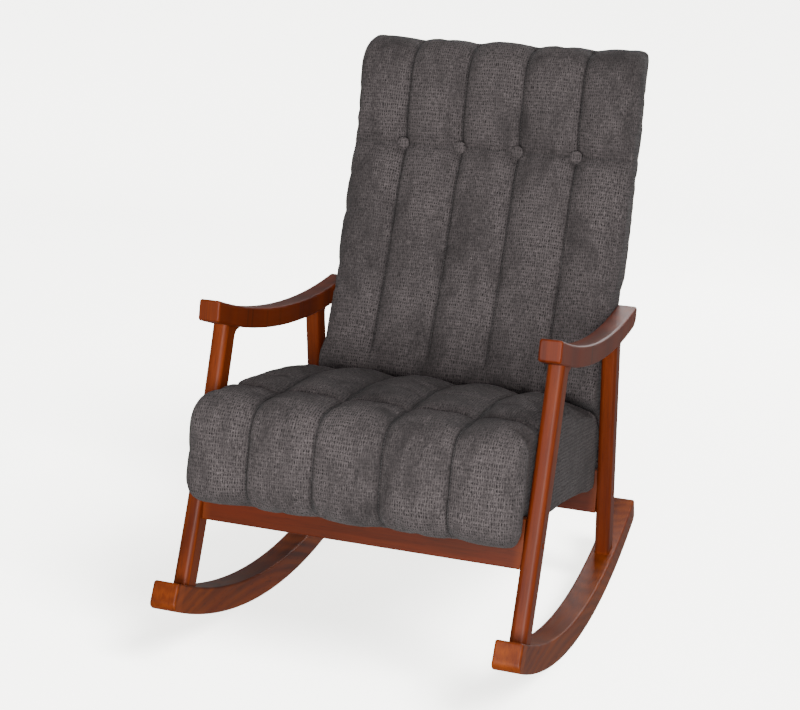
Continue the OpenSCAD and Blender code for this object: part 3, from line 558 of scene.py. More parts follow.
@dataclass
class SideFrame:
    """One side frame: rocker, two legs and an arm."""

    side: Side
    centre_x: float = 291.0
    hub: tuple[float, float] = (232.0, 1110.0)
    roll_r: float = 1110.0
    rocker_top_r: float = 1064.0
    rocker_width: float = 46.0
    rocker_span: tuple[float, float] = (-18.0, 30.0)
    toe_r: float = 14.0
    arm_hub: tuple[float, float] = (233.141, 1924.871)
    arm_top_r: float = 1387.695
    arm_under_r: float = 1423.695
    arm_span: tuple[float, float] = (-12.0, 598.0)
    arm_width: float = 38.0
    leg_width: float = 28.5
    front_leg: tuple[float, float, float, float] = (-27.5, 78.13, 55.5, 512.302)
    rear_leg: tuple[float, float, float, float] = (602.0, 112.405, 475.0, 521.87)
    leg_depths: tuple[float, float] = (40.0, 38.0)
    bow: float = 6.0
    cove: float = 16.0
    rail_z: float = 230.0
    rail_ys: tuple[float, float] = (6.894, 565.527)
    arm_bolt: tuple[float, float] = (585.24, 560.0)

    @property
    def x(self) -> float:
        """Centre plane of this frame."""
        return self.side.value * self.centre_x

    @property
    def tag(self) -> str:
        """Name of the side."""
        return self.side.name.lower()

    def rocker(self) -> bpy.types.Object:
        """Build the rocker, with its ends eased and the lower corners rounded."""
        hub = np.array(self.hub)
        lo, hi = (math.radians(a) for a in self.rocker_span)
        length = (hi - lo) * self.roll_r
        ends = end_steps(self.toe_r)
        middle = list(np.linspace(self.toe_r, length - self.toe_r, 90))
        at = sorted(set(ends + [length - e for e in ends] + middle))
        stations = []
        for d in at:
            a = lo + d / self.roll_r
            ray = np.array([math.sin(a), -math.cos(a)])
            near = min(d, length - d)
            top = self.rocker_top_r + round_drop(4.0, near)
            low = self.roll_r - round_drop(self.toe_r, near)
            stations.append((hub + ray * top, hub + ray * low,
                             self.rocker_width - 2 * round_drop(4.0, near)))

        def grain(p: Array) -> Array:
            """Run the grain along the sawn curve's chord."""
            d = p[:, 1:] - hub
            return np.stack([p[:, 1], p[:, 0], np.linalg.norm(d, axis=1) * 0.35 + p[:, 2] * 0.65], 1) * MM

        return Stick(f"{self.tag}_rocker_wood", stations, grain, (4.0, 3.0), self.x).build()

    def arm(self) -> bpy.types.Object:
        """Build the arm, with its rear end rounded above and below."""
        hub = np.array(self.arm_hub)
        y0, y1 = self.arm_span
        front, rear = end_steps(5.0, 4), end_steps(20.0, 9)
        at = sorted(set([y0 + e for e in front] + [y1 - e for e in rear]
                        + [y1 - e for e in end_steps(9.0, 5)]
                        + list(np.linspace(y0 + 5, y1 - 20, 70))))
        stations = []
        for y in at:
            d0, d1 = y - y0, y1 - y
            top = hub[1] - math.sqrt(self.arm_top_r ** 2 - (y - hub[0]) ** 2)
            low = hub[1] - math.sqrt(self.arm_under_r ** 2 - (y - hub[0]) ** 2)
            top -= round_drop(4.0, d0) + round_drop(9.0, d1)
            low += round_drop(4.0, d0) + round_drop(20.0, d1)
            ease = round_drop(3.5, min(d0, d1))
            stations.append((np.array([y, top]), np.array([y, low]), self.arm_width - 2 * ease))

        def grain(p: Array) -> Array:
            """Run the grain from end to end."""
            d = np.linalg.norm(p[:, 1:] - hub, axis=1)
            return np.stack([p[:, 1], p[:, 0] + 1200, d * 0.5 + p[:, 2] * 0.5], 1) * MM

        return Stick(f"{self.tag}_arm_wood", stations, grain, (5.0, 4.0), self.x,
                     holes=[self.arm_bolt]).build()

    def leg(self, front: bool) -> bpy.types.Object:
        """Build a leg, coped to the rocker and the arm, with a hollow behind its head."""
        fy, fz, hy, hz = self.front_leg if front else self.rear_leg
        foot, head = np.array([fy, fz]), np.array([hy, hz])
        depth = self.leg_depths[0 if front else 1]
        bow = self.bow if front else 0.0
        up = unit(head - foot)
        back = np.array([up[1], -up[0]])
        length = float(np.linalg.norm(head - foot))
        at = [0.0] + list(np.linspace(6, length - self.cove - 3, 34))
        at += [length - self.cove * (1 - math.sin(math.pi / 2 * k / 7)) for k in range(1, 8)]
        stations = []
        for d in at:
            t = d / length
            axis = foot + up * d + back * bow * 4 * t * (1 - t)
            hollow = round_drop(self.cove, length - d) if length - d < self.cove else 0.0
            stations.append((axis - back * depth / 2, axis + back * (depth / 2 + hollow), self.leg_width))

        def cope(ring: Array, end: int) -> Array:
            """Slide an end ring along the leg to the curve that it meets."""
            centre = np.array(self.hub if end == 0 else self.arm_hub)
            r = self.rocker_top_r - 0.1 if end == 0 else self.arm_under_r + 0.1
            rel = ring[:, 1:] - centre
            along = rel @ up
            rest = (rel ** 2).sum(1) - r * r
            root = np.sqrt(along ** 2 - rest)
            slide = -along - root
            out = ring.copy()
            out[:, 1:] += slide[:, None] * up
            return out

        def grain(p: Array) -> Array:
            """Run the grain up the leg."""
            rel = p[:, 1:] - foot
            return np.stack([rel @ up + (0 if front else 900), p[:, 0] * 1.0, rel @ back + 300], 1) * MM

        name = f"{self.tag}_{'front' if front else 'rear'}_leg_wood"
        bolt = (self.rail_ys[0 if front else 1], self.rail_z)
        return Stick(name, stations, grain, (9.0, 5.0) if front else (8.0, 5.0), self.x,
                     holes=[bolt]).build(cope)

    def dress(self, finishes: Sequence[bpy.types.Material]) -> None:
        """Build all four pieces and give them their finish and body."""
        made = {f"{self.tag}_rocker": self.rocker(), f"{self.tag}_arm": self.arm(),
                f"{self.tag}_front_leg": self.leg(True), f"{self.tag}_rear_leg": self.leg(False)}
        for k, (node, piece) in enumerate(made.items()):
            finished(piece, finishes[k % len(finishes)], "lacquered_wood", node)


def finished(piece: bpy.types.Object, material: bpy.types.Material, slot: str,
             *nodes: str) -> bpy.types.Object:
    """Dress a piece, fix it to the chair and let it stand for its solids.

    Args:
        piece: the finished object.
        material: its finish.
        slot: its material slot; not used.
        *nodes: solids that it replaces.

    Returns:
        The piece.
    """
    piece.data.materials.clear()
    piece.data.materials.append(material)
    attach(piece, "root")
    if nodes:
        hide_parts(*nodes)
    LOG.info("%s: %d points, %s", piece.name, len(piece.data.vertices), material.name)
    return piece


@dataclass
class CrossRails:
    """The front and rear rails between the side frames."""

    half: float = 276.65
    bottom: float = 189.0
    top: float = 271.0
    thick: float = 26.0
    ys: tuple[float, float] = (6.894, 565.527)

    def build(self, index: int, name: str) -> bpy.types.Object:
        """Build one rail with eased long edges."""
        y = self.ys[index]
        radius, steps = 3.0, 4
        ring: list[list[float]] = []
        for sy, sz, start in ((1, 1, 0), (1, -1, 90), (-1, -1, 180), (-1, 1, 270)):
            cy = y + sy * (self.thick / 2 - radius)
            cz = self.top - radius if sz > 0 else self.bottom + radius
            for k in range(steps + 1):
                t = math.radians(start + 90 * k / steps)
                ring.append([cy + radius * math.sin(t), cz + radius * math.cos(t)])
        base = np.array(ring)
        xs = np.linspace(-self.half, self.half, 40)
        drawn = np.vstack([np.column_stack([np.full(len(base), x), base]) for x in xs])
        n = len(base)
        faces: list[list[int]] = [list(range(n)), list(range(len(drawn) - n, len(drawn)))[::-1]]
        for r in range(len(xs) - 1):
            faces += [[r * n + k, (r + 1) * n + k, (r + 1) * n + (k + 1) % n, r * n + (k + 1) % n]
                      for k in range(n)]
        obj = mesh_object(name, STANCE.world(drawn), faces)
        outward(obj)
        along = drawn[:, 0] + 2000 + 700 * index
        vector_attribute(obj, "grain", np.stack([along, drawn[:, 2], drawn[:, 1]], 1) * MM)
        soften(obj)
        return obj


# ---- cushions ---------------------------------------------------------------------------------
@dataclass
class Outline:
    """A closed side-view outline that points can be measured against."""

    points: Array

    def __post_init__(self) -> None:
        """Work out the runs and outward normals."""
        nxt = np.roll(self.points, -1, axis=0)
        seg = nxt - self.points
        area = float(np.sum(self.points[:, 0] * nxt[:, 1] - nxt[:, 0] * self.points[:, 1]))
        way = 1.0 if area > 0 else -1.0
        self.lengths = np.linalg.norm(seg, axis=1)
        self.seg = seg
        self.run = np.concatenate([[0], np.cumsum(self.lengths)])
        face = np.stack([seg[:, 1], -seg[:, 0]], 1) / self.lengths[:, None] * way
        corner = face + np.roll(face, 1, axis=0)
        self.normals = corner / np.linalg.norm(corner, axis=1, keepdims=True)

    def nearest(self, yz: Array) -> tuple[Array, Array, Array]:
        """Measure points against the outline.

        Args:
            yz: rows of y, z.

        Returns:
            Depth inside the outline, place along it, and the outward direction there.
        """
        depth, place = np.empty(len(yz)), np.empty(len(yz))
        out = np.empty((len(yz), 2))
        n = len(self.points)
        for lo in range(0, len(yz), 4000):
            q = yz[lo:lo + 4000]
            rel = q[:, None, :] - self.points[None]
            t = np.clip((rel * self.seg[None]).sum(2) / (self.lengths ** 2)[None], 0, 1)
            gap = rel - t[..., None] * self.seg[None]
            d = (gap ** 2).sum(2)
            k = d.argmin(1)
            i = np.arange(len(q))
            tk = t[i, k]
            normal = self.normals[k] * (1 - tk)[:, None] + self.normals[(k + 1) % n] * tk[:, None]
            normal /= np.linalg.norm(normal, axis=1, keepdims=True)
            depth[lo:lo + 4000] = -(gap[i, k] * normal).sum(1)
            place[lo:lo + 4000] = self.run[k] + tk * self.lengths[k]
            out[lo:lo + 4000] = normal
        return depth, place, out

    def place_of(self, y: float, z: float) -> float:
        """Return the place along the outline nearest to a point."""
        return float(self.nearest(np.array([[y, z]]))[1][0])


@dataclass
class Cushion:
    """A padded unit: an outline drawn across the chair, with sewn channels and a boxed edge."""

    name: str
    corners: list[tuple[float, float, float]]
    half: float
    seams: tuple[float, ...]
    channel_zone: tuple[tuple[float, float], tuple[float, float]]
    voxel: float = 7.0
    valley: float = 12.0
    edge_round: float = 24.0
    puff_cap: float = 9.0
    crease: float = 6.0
    side_crown: float = 2.0
    cross_seams: tuple[tuple[float, float, float, float], ...] = ()
    dimples: tuple[tuple[float, float, float], ...] = ()
    flare: Callable[[Array, Array], Array] | None = None
    still: Callable[[Array, Array], Array] | None = None
    trim: Callable[[Array], Array] | None = None

    def __post_init__(self) -> None:
        """Measure the outline."""
        self.outline = Outline(resampled(rounded(self.corners), 5.0))
        self.start = self.outline.place_of(*self.channel_zone[0])
        self.end = self.outline.place_of(*self.channel_zone[1])

    def block(self) -> bpy.types.Object:
        """Extrude the outline across the chair and remesh it evenly, in the drawn frame."""
        pts = self.outline.points
        n = len(pts)
        drawn = np.vstack([np.column_stack([np.full(n, s * self.half), pts]) for s in (-1, 1)])
        faces: list[list[int]] = [list(range(n)), list(range(n, 2 * n))[::-1]]
        faces += [[k, n + k, n + (k + 1) % n, (k + 1) % n] for k in range(n)]
        obj = mesh_object(self.name, drawn * MM, faces)
        outward(obj)
        mod = obj.modifiers.new("even", "REMESH")
        mod.mode, mod.voxel_size, mod.adaptivity = "VOXEL", self.voxel * MM, 0.0
        return baked(obj)

    def in_zone(self, place: Array, fade: float = 22.0) -> Array:
        """Return 1 where the channels run and 0 elsewhere."""
        total = self.outline.run[-1]
        span = (self.end - self.start) % total
        at = (place - self.start) % total
        at = np.where(at > span + (total - span) / 2, at - total, at)
        return smoothstep(-fade, fade * 0.4, at) * smoothstep(-fade, fade * 0.4, span - at)

    def sculpt(self, obj: bpy.types.Object) -> Array:
        """Round the edges and sink the seams, in the drawn frame.

        Returns:
            How firmly each point is held by sewing, from 0 to 1.
        """
        p = coords(obj) / MM
        depth, place, out = self.outline.nearest(p[:, 1:])
        depth = np.maximum(depth, 0)
        e = np.maximum(self.half - np.abs(p[:, 0]), 0)
        zone = self.in_zone(place)
        r = 7 + (self.edge_round - 7) * zone
        dx, dq = np.maximum(r - e, 0), np.maximum(r - depth, 0)
        reach = np.maximum(np.hypot(dx, dq), 1e-6)
        corner = (dx > 0) & (dq > 0)
        new_e = np.where(corner, r - dx * r / np.maximum(reach, r), e)
        new_q = np.where(corner, r - dq * r / np.maximum(reach, r), depth)
        p[:, 0] = np.sign(p[:, 0]) * (self.half - new_e)
        p[:, 1:] -= out * (new_q - depth)[:, None]
        on_face = np.clip(np.where(corner, dq / reach, np.where(e <= 0.5, 0, 1)), 0, 1)
        sink, hold = np.zeros(len(p)), np.zeros(len(p))
        for s in self.seams:
            u = np.abs(p[:, 0] - s)
            sink = np.maximum(sink, self.valley * (1 - np.clip(u / 52, 0, 1)) ** 2.3)
            hold = np.maximum(hold, 1 - smoothstep(3, 9, u))
        sink, hold = sink * zone, hold * zone
        for y, z, deep, wide in self.cross_seams:
            u = np.abs(place - self.outline.place_of(y, z))
            groove = deep * (1 - np.clip(u / wide, 0, 1)) ** 2.2
            sink = sink + groove * (1 - 0.45 * sink / self.valley)
            hold = np.maximum(hold, 1 - smoothstep(3, 9, u))
        for x, y, z in self.dimples:
            u = np.hypot(p[:, 0] - x, place - self.outline.place_of(y, z))
            sink = sink + 3 * np.exp(-(u / 26) ** 2)
            hold = np.maximum(hold, np.exp(-(u / 14) ** 2))
        p[:, 1:] -= out * (sink * on_face)[:, None]
        bulge = smoothstep(0, 60, np.minimum(depth, 60))
        p[:, 0] += np.sign(p[:, 0]) * self.side_crown * bulge * (e < 2)
        if self.flare is not None:
            p = self.flare(p, place)
        set_coords(obj, p * MM)
        hold = hold * on_face
        if self.still is not None:
            hold = np.maximum(hold, self.still(p, place))
        return np.clip(hold, 0, 1)

    def inflate(self, obj: bpy.types.Object, hold: Array) -> None:
        """Puff the cover between its seams with a short cloth simulation."""
        group = obj.vertex_groups.new(name="sewn")
        for i in np.flatnonzero(hold > 0.02):
            group.add([int(i)], float(hold[i]), "REPLACE")
        before = coords(obj)
        mod = obj.modifiers.new("stuffing", "CLOTH")
        cloth = mod.settings
        cloth.quality = 4
        cloth.mass = 0.35
        cloth.tension_stiffness = cloth.compression_stiffness = 12
        cloth.shear_stiffness = 4
        cloth.bending_stiffness = 0.6
        cloth.use_pressure = True
        cloth.uniform_pressure_force = 4.0
        cloth.shrink_min = -0.022
        cloth.vertex_group_mass = "sewn"
        cloth.pin_stiffness = 1.0
        cloth.effector_weights.gravity = 0
        mod.collision_settings.use_collision = False
        mod.point_cache.frame_start, mod.point_cache.frame_end = 1, 20
        scene = bpy.context.scene
        for frame_no in range(1, 21):
            scene.frame_set(frame_no)
        graph = bpy.context.evaluated_depsgraph_get()
        copy = bpy.data.meshes.new_from_object(obj.evaluated_get(graph), depsgraph=graph)
        after = np.empty(len(copy.vertices) * 3)
        copy.vertices.foreach_get("co", after)
        after = after.reshape(-1, 3)
        bpy.data.meshes.remove(copy)
        obj.modifiers.clear()
        obj.vertex_groups.clear()
        scene.frame_set(1)
        move = after - before
        size = np.linalg.norm(move, axis=1, keepdims=True)
        cap = self.puff_cap * MM
        move *= np.minimum(1, cap / np.maximum(size, 1e-9))
        set_coords(obj, before + move)
        LOG.info("%s: stuffing moved it %.1f mm at most", self.name, float(size.max() / MM))

    def sew(self, obj: bpy.types.Object) -> None:
        """Subdivide the cover, press the seam lines in and store painted shade along them, in the drawn frame.
        """
        mod = obj.modifiers.new("fine", "SUBSURF")
        mod.levels = mod.render_levels = 1
        baked(obj)
        p = coords(obj) / MM
        n = point_normals(obj)
        _depth, place, _out = self.outline.nearest(p[:, 1:])
        zone = self.in_zone(place) * (np.abs(n[:, 0]) < 0.8)
        press = np.zeros(len(p))
        seam_shade = np.zeros(len(p))
        half_step = self.voxel / 4
        for s in self.seams:
            u = p[:, 0] - s
            near = (np.abs(u) < half_step + 0.05) & (zone > 0.4)
            p[near, 0] = s
            press = np.maximum(press, self.crease * np.exp(-np.abs(u) / 5.0) * zone)
            # seam_shade is painted shade for the cover's material, darkest on each seam line.
            seam_shade = np.maximum(seam_shade, np.exp(-(u / 2.4) ** 2) * zone)
        for y, z, _deep, _wide in self.cross_seams:
            u = place - self.outline.place_of(y, z)
            facing = np.abs(n[:, 0]) < 0.8
            press = np.maximum(press, 0.6 * self.crease * np.exp(-np.abs(u) / 4.0) * facing)
            # Weaker painted shade along the cross seams.
            seam_shade = np.maximum(seam_shade, 0.35 * np.exp(-(u / 2.0) ** 2) * facing)
        front = (p[:, 0] * n[:, 0] > 0) & (np.abs(n[:, 0]) > 0.55) & (np.abs(n[:, 0]) < 0.97)
        boxing = np.exp(-((np.abs(n[:, 0]) - 0.82) / 0.06) ** 2) * self.in_zone(place) * front
        press = press + 1.3 * boxing
        wander = (np.sin(p[:, 0] * 0.043 + p[:, 2] * 0.031) + np.sin(p[:, 1] * 0.037 - p[:, 2] * 0.027 + 1.3)
                  + 0.6 * np.sin(p[:, 0] * 0.11 + p[:, 1] * 0.07 + p[:, 2] * 0.05)) * 0.35
        p += n * (wander - press)[:, None]
        if self.trim is not None:
            p = self.trim(p)
        set_coords(obj, p * MM)
        obj.data.attributes.new("seam", "FLOAT", "POINT").data.foreach_set("value", seam_shade.astype(np.float32))

    def lay_cloth(self, obj: bpy.types.Object) -> None:
        """Give the cover cloth coordinates that run across and along each panel."""
        p = coords(obj) / MM
        _depth, place, _out = self.outline.nearest(p[:, 1:])
        mesh = obj.data
        total = self.outline.run[-1]
        corner = np.empty(len(mesh.loops), np.int32)
        mesh.loops.foreach_get("vertex_index", corner)
        starts = np.empty(len(mesh.polygons), np.int32)
        counts = np.empty(len(mesh.polygons), np.int32)
        mesh.polygons.foreach_get("loop_start", starts)
        mesh.polygons.foreach_get("loop_total", counts)
        normals = np.empty(len(mesh.polygons) * 3, np.float32)
        mesh.polygons.foreach_get("normal", normals)
        normals = normals.reshape(-1, 3)
        face = np.repeat(np.arange(len(counts)), counts)
        first = place[corner[starts]][face]
        at = place[corner]
        at = np.where(at - first > total / 2, at - total, np.where(first - at > total / 2, at + total, at))
        side = np.abs(normals[face, 0]) > 0.72
        u = np.where(side, p[corner, 1], p[corner, 0] + 900)
        v = np.where(side, p[corner, 2], at)
        layer = mesh.uv_layers.new(name="cloth")
        layer.uv.foreach_set("vector", (np.stack([u, v], 1) * MM).astype(np.float32).ravel())

    def build(self, material: bpy.types.Material, slot: str, fill: float, *nodes: str) -> bpy.types.Object:
        """Make the cushion and let it stand for its solids.

        Args:
            material: cover finish.
            slot: material slot name, handed on to finished.
            fill: how full the stuffing is, from 0 to 1; not used.
            *nodes: solids that it replaces.

        Returns:
            The cushion in the shared frame.
        """
        obj = self.block()
        hold = self.sculpt(obj)
        self.inflate(obj, hold)
        self.sew(obj)
        self.lay_cloth(obj)
        self.surface = BVHTree.FromObject(obj, bpy.context.evaluated_depsgraph_get())
        set_coords(obj, STANCE.world(coords(obj) / MM))
        obj.data.shade_smooth()
        return finished(obj, material, slot, *nodes)

    def on_cover(self, x: float, place: float, lift: float = 0.0) -> Array | None:
        """Return the cover's point, in drawn millimetres, at a place along its outline."""
        out = self.outline
        k = int(np.searchsorted(out.run, place % out.run[-1], side="right") - 1) % len(out.points)
        t = (place % out.run[-1] - out.run[k]) / out.lengths[k]
        base = out.points[k] + out.seg[k] * t
        normal = out.normals[k] * (1 - t) + out.normals[(k + 1) % len(out.points)] * t
        normal = normal / np.linalg.norm(normal)
        start = Vector((x, *(base + normal * 40))) * MM
        hit, _n, _i, _d = self.surface.ray_cast(start, Vector((0, -normal[0], -normal[1])), 0.11)
        if hit is None:
            return None
        return np.array(hit) / MM + np.array([0, *normal]) * lift


def seat_cushion() -> Cushion:
    """Return the seat unit."""
    corners = [(-6.6, 229, 3), (-90.1, 232, 46), (-90.1, 407, 62), (220, 447, 620), (474, 400, 100),
               (552, 355, 46), (552, 233, 3), (20.4, 233, 3), (20.4, 271.5, 0), (-6.6, 271.5, 0)]

    def flare(p: Array, place: Array) -> Array:
        """Arch the lower edge of the side panels and swell the middle of the front roll."""
        mid, span = 286.2, 230.0
        lift = 13 * np.clip(1 - ((p[:, 1] - mid) / span) ** 2, 0, 1)
        low = smoothstep(40, 0, p[:, 2] - 233) * (p[:, 1] > 30) * (p[:, 1] < 540)
        p[:, 2] += lift * low * smoothstep(222, 262, np.abs(p[:, 0]))
        nose = smoothstep(-20, -70, p[:, 1]) * smoothstep(225, 300, p[:, 2])
        p[:, 0] *= 1 + 0.036 * smoothstep(-28, -58, p[:, 1])
        p[:, 1] -= 7 * nose * np.clip(1 - (p[:, 0] / 250) ** 2, 0, 1)
        return p

    def still(p: Array, place: Array) -> Array:
        """Hold the cover where it is stapled to the frame or rests on a rail."""
        under = (p[:, 2] < 262) & (p[:, 1] > 2)
        slot = (p[:, 1] > -12) & (p[:, 1] < 34) & (p[:, 2] < 290)
        rear = p[:, 1] > 536
        return np.maximum(under, np.maximum(slot, rear)).astype(float)

    def trim(p: Array) -> Array:
        """Keep the cover off the rails and legs."""
        limit = 271.8 + 12 * smoothstep(-26, -56, p[:, 1])
        p[:, 0] = np.clip(p[:, 0], -limit, limit)
        rail = (p[:, 1] > -7.0) & (p[:, 1] < 20.8) & (p[:, 2] < 271.6)
        p[:, 2] = np.where(rail & (p[:, 2] > 250), 271.6, p[:, 2])
        p[:, 1] = np.where(rail & (p[:, 2] <= 250) & (p[:, 1] < 7), -7.0, p[:, 1])
        p[:, 1] = np.where(rail & (p[:, 2] <= 250) & (p[:, 1] >= 7), 20.8, p[:, 1])
        p[:, 1] = np.minimum(p[:, 1], 552.3)
        return p

    return Cushion("seat_cushion", corners, 271.5, (-171.0, -57.0, 57.0, 171.0),
                   ((-50, 231), (478, 398)), valley=7.0, edge_round=26.0, side_crown=1.5,
                   cross_seams=((37, 432, 9.0, 46.0),), flare=flare, still=still, trim=trim)


def back_cushion() -> Cushion:
    """Return the back unit."""
    corners = [(610.5, 199, 3), (610.5, 480, 260), (659.6, 1064, 20), (565.6, 1054, 78), (558.1, 904, 50),
               (565.8, 852, 16), (546.6, 790, 60), (511.9, 615, 240), (483, 510, 160), (458.5, 411, 14),
               (519, 387, 8), (557.5, 363, 6), (557.5, 287, 0), (578.8, 284, 0), (578.8, 199, 0)]

    def flare(p: Array, place: Array) -> Array:
        """Let the back widen a little above the arms."""
        p[:, 0] *= 1 + 0.014 * smoothstep(600, 700, p[:, 2])
        return p

    def still(p: Array, place: Array) -> Array:
        """Hold the cover where it lies on the frame or between the arms."""
        rear = p[:, 1] > 600 + np.maximum(0, p[:, 2] - 480) * math.tan(math.radians(4.8))
        low = (p[:, 2] < 400)
        return np.maximum(rear, low).astype(float)

    def trim(p: Array) -> Array:
        """Keep the cover off the arms and the rear rail."""
        limit = 271.6 + 7.5 * smoothstep(588, 640, p[:, 2])
        p[:, 0] = np.clip(p[:, 0], -limit, limit)
        rail = (p[:, 2] < 286) & (p[:, 1] < 579.0)
        p[:, 1] = np.where(rail, 579.0, p[:, 1])
        return p

    xs = (-171.0, -57.0, 57.0, 171.0)
    return Cushion("back_cushion", corners, 271.5, xs, ((630, 1064), (472, 460)), valley=11.0, edge_round=22.0,
                   side_crown=2.0, cross_seams=((565.8, 852, 6.0, 34.0),),
                   dimples=tuple((x, 565.8, 852.0) for x in xs), flare=flare, still=still, trim=trim)


@dataclass
class Stitching:
    """Rows of short sewn stitches that follow the seams."""

    length: float = 3.4
    pitch: float = 5.2
    thick: float = 0.5

    def tree(self, material: bpy.types.Material) -> bpy.types.NodeTree:
        """Build the node tree that lays stitches along curves.

        Args:
            material: thread finish.

        Returns:
            A geometry node group with named inputs.
        """
        group = bpy.data.node_groups.new("stitch_row", "GeometryNodeTree")
        face = group.interface
        face.new_socket("Geometry", in_out="INPUT", socket_type="NodeSocketGeometry")
        for name, value in (("Pitch", self.pitch), ("Length", self.length), ("Thickness", self.thick)):
            sock = face.new_socket(name, in_out="INPUT", socket_type="NodeSocketFloat")
            sock.default_value = value * MM
        seed = face.new_socket("Seed", in_out="INPUT", socket_type="NodeSocketInt")
        seed.default_value = 7
        face.new_socket("Geometry", in_out="OUTPUT", socket_type="NodeSocketGeometry")
        nodes, link = group.nodes, group.links.new
        inp, outp = nodes.new("NodeGroupInput"), nodes.new("NodeGroupOutput")
        even = nodes.new("GeometryNodeResampleCurve")
        even.mode = "LENGTH"
        bar = nodes.new("GeometryNodeMeshCylinder")
        bar.inputs["Vertices"].default_value = 6
        bar.inputs["Side Segments"].default_value = 1
        ease = nodes.new("GeometryNodeCurveToPoints")
        ease.mode = "EVALUATED"
        place = nodes.new("GeometryNodeInstanceOnPoints")
        vary = nodes.new("FunctionNodeRandomValue")
        vary.data_type = "FLOAT"
        vary.inputs[2].default_value, vary.inputs[3].default_value = 0.85, 1.1
        real = nodes.new("GeometryNodeRealizeInstances")
        paint = nodes.new("GeometryNodeSetMaterial")
        paint.inputs["Material"].default_value = material
        link(inp.outputs["Geometry"], even.inputs["Curve"])
        link(inp.outputs["Pitch"], even.inputs["Length"])
        link(even.outputs[0], ease.inputs["Curve"])
        link(ease.outputs["Points"], place.inputs["Points"])
        link(ease.outputs["Rotation"], place.inputs["Rotation"])
        link(inp.outputs["Length"], bar.inputs["Depth"])
        link(inp.outputs["Thickness"], bar.inputs["Radius"])
        link(bar.outputs["Mesh"], place.inputs["Instance"])
        link(inp.outputs["Seed"], vary.inputs["Seed"])
        link(vary.outputs[1], place.inputs["Scale"])
        link(place.outputs[0], real.inputs[0])
        link(real.outputs[0], paint.inputs["Geometry"])
        link(paint.outputs[0], outp.inputs[0])
        return group

    def rows(self, name: str, lines: Sequence[Array], group: bpy.types.NodeTree) -> bpy.types.Object:
        """Lay stitches along lines of drawn points.

        Args:
            name: name of the piece.
            lines: one row of drawn points for each seam.
            group: the stitch tree.

        Returns:
            One plain mesh with all the stitches.
        """
        curve = bpy.data.curves.new(name, "CURVE")
        curve.dimensions = "3D"
        for pts in lines:
            world = STANCE.world(pts)
            spline = curve.splines.new("POLY")
            spline.points.add(len(world) - 1)
            spline.points.foreach_set("co", np.column_stack([world, np.ones(len(world))]).ravel())
        source = bpy.data.objects.new(name + "_path", curve)
        bpy.context.scene.collection.objects.link(source)
        mod = source.modifiers.new("stitches", "NODES")
        mod.node_group = group
        keys = {s.name: s.identifier for s in group.interface.items_tree if s.in_out == "INPUT"}
        mod[keys["Pitch"]] = self.pitch * MM
        mod[keys["Length"]] = self.length * MM
        mod[keys["Thickness"]] = self.thick * MM
        mod[keys["Seed"]] = 7
        graph = bpy.context.evaluated_depsgraph_get()
        graph.update()
        mesh = bpy.data.meshes.new_from_object(source.evaluated_get(graph), depsgraph=graph)
        obj = bpy.data.objects.new(name, mesh)
        bpy.context.scene.collection.objects.link(obj)
        source.modifiers.clear()
        bpy.data.objects.remove(source)
        return obj


@dataclass
class Buttons:
    """Covered buttons in the cross seam of the back."""

    xs: tuple[float, ...] = (-171.0, -57.0, 57.0, 171.0)
    z: float = 852.0
    radius: float = 12.3
    rise: float = 8.0
    stem_y: float = 567.0

    def build(self, back: Cushion) -> bpy.types.Object:
        """Turn the buttons and seat each one in its dimple."""
        rings, around = 12, 36
        points: list[Array] = []
        faces: list[list[int]] = []
        for n, x in enumerate(self.xs):
            at = back.on_cover(x, back.outline.place_of(565.8, self.z), 0.0)
            seat_y = min(at[1] - 4.0 if at is not None else 566.0, self.stem_y)
            base = len(points)
            for k in range(rings + 1):
                t = math.pi * 0.62 * k / rings
                r = self.radius * math.sin(t) if k < rings else self.radius * 0.78
                up = self.rise * (math.cos(t) * 0.75 + 0.25)
                for a in range(around):
                    w = 2 * math.pi * a / around
                    pucker = 1 + 0.02 * math.sin(9 * w + n) * (k / rings)
                    points.append(np.array([x + r * pucker * math.cos(w), seat_y - up - 1.2,
                                            self.z + r * pucker * math.sin(w)]))
            for k in range(rings):
                for a in range(around):
                    b = (a + 1) % around
                    faces.append([base + k * around + a, base + k * around + b,
                                  base + (k + 1) * around + b, base + (k + 1) * around + a])
            faces.append([base + rings * around + a for a in range(around)])
        drawn = np.array(points)
        obj = mesh_object("covered_buttons", STANCE.world(drawn), faces)
        bm = bmesh.new()
        bm.from_mesh(obj.data)
        bmesh.ops.remove_doubles(bm, verts=bm.verts, dist=1e-6)
        layer = bm.loops.layers.uv.new("cloth")
        bmesh.ops.recalc_face_normals(bm, faces=bm.faces)
        for face in bm.faces:
            for loop in face.loops:
                loop[layer].uv = (loop.vert.co.x, loop.vert.co.z)
        bm.to_mesh(obj.data)
        bm.free()
        soften(obj, 60, False)
        return obj


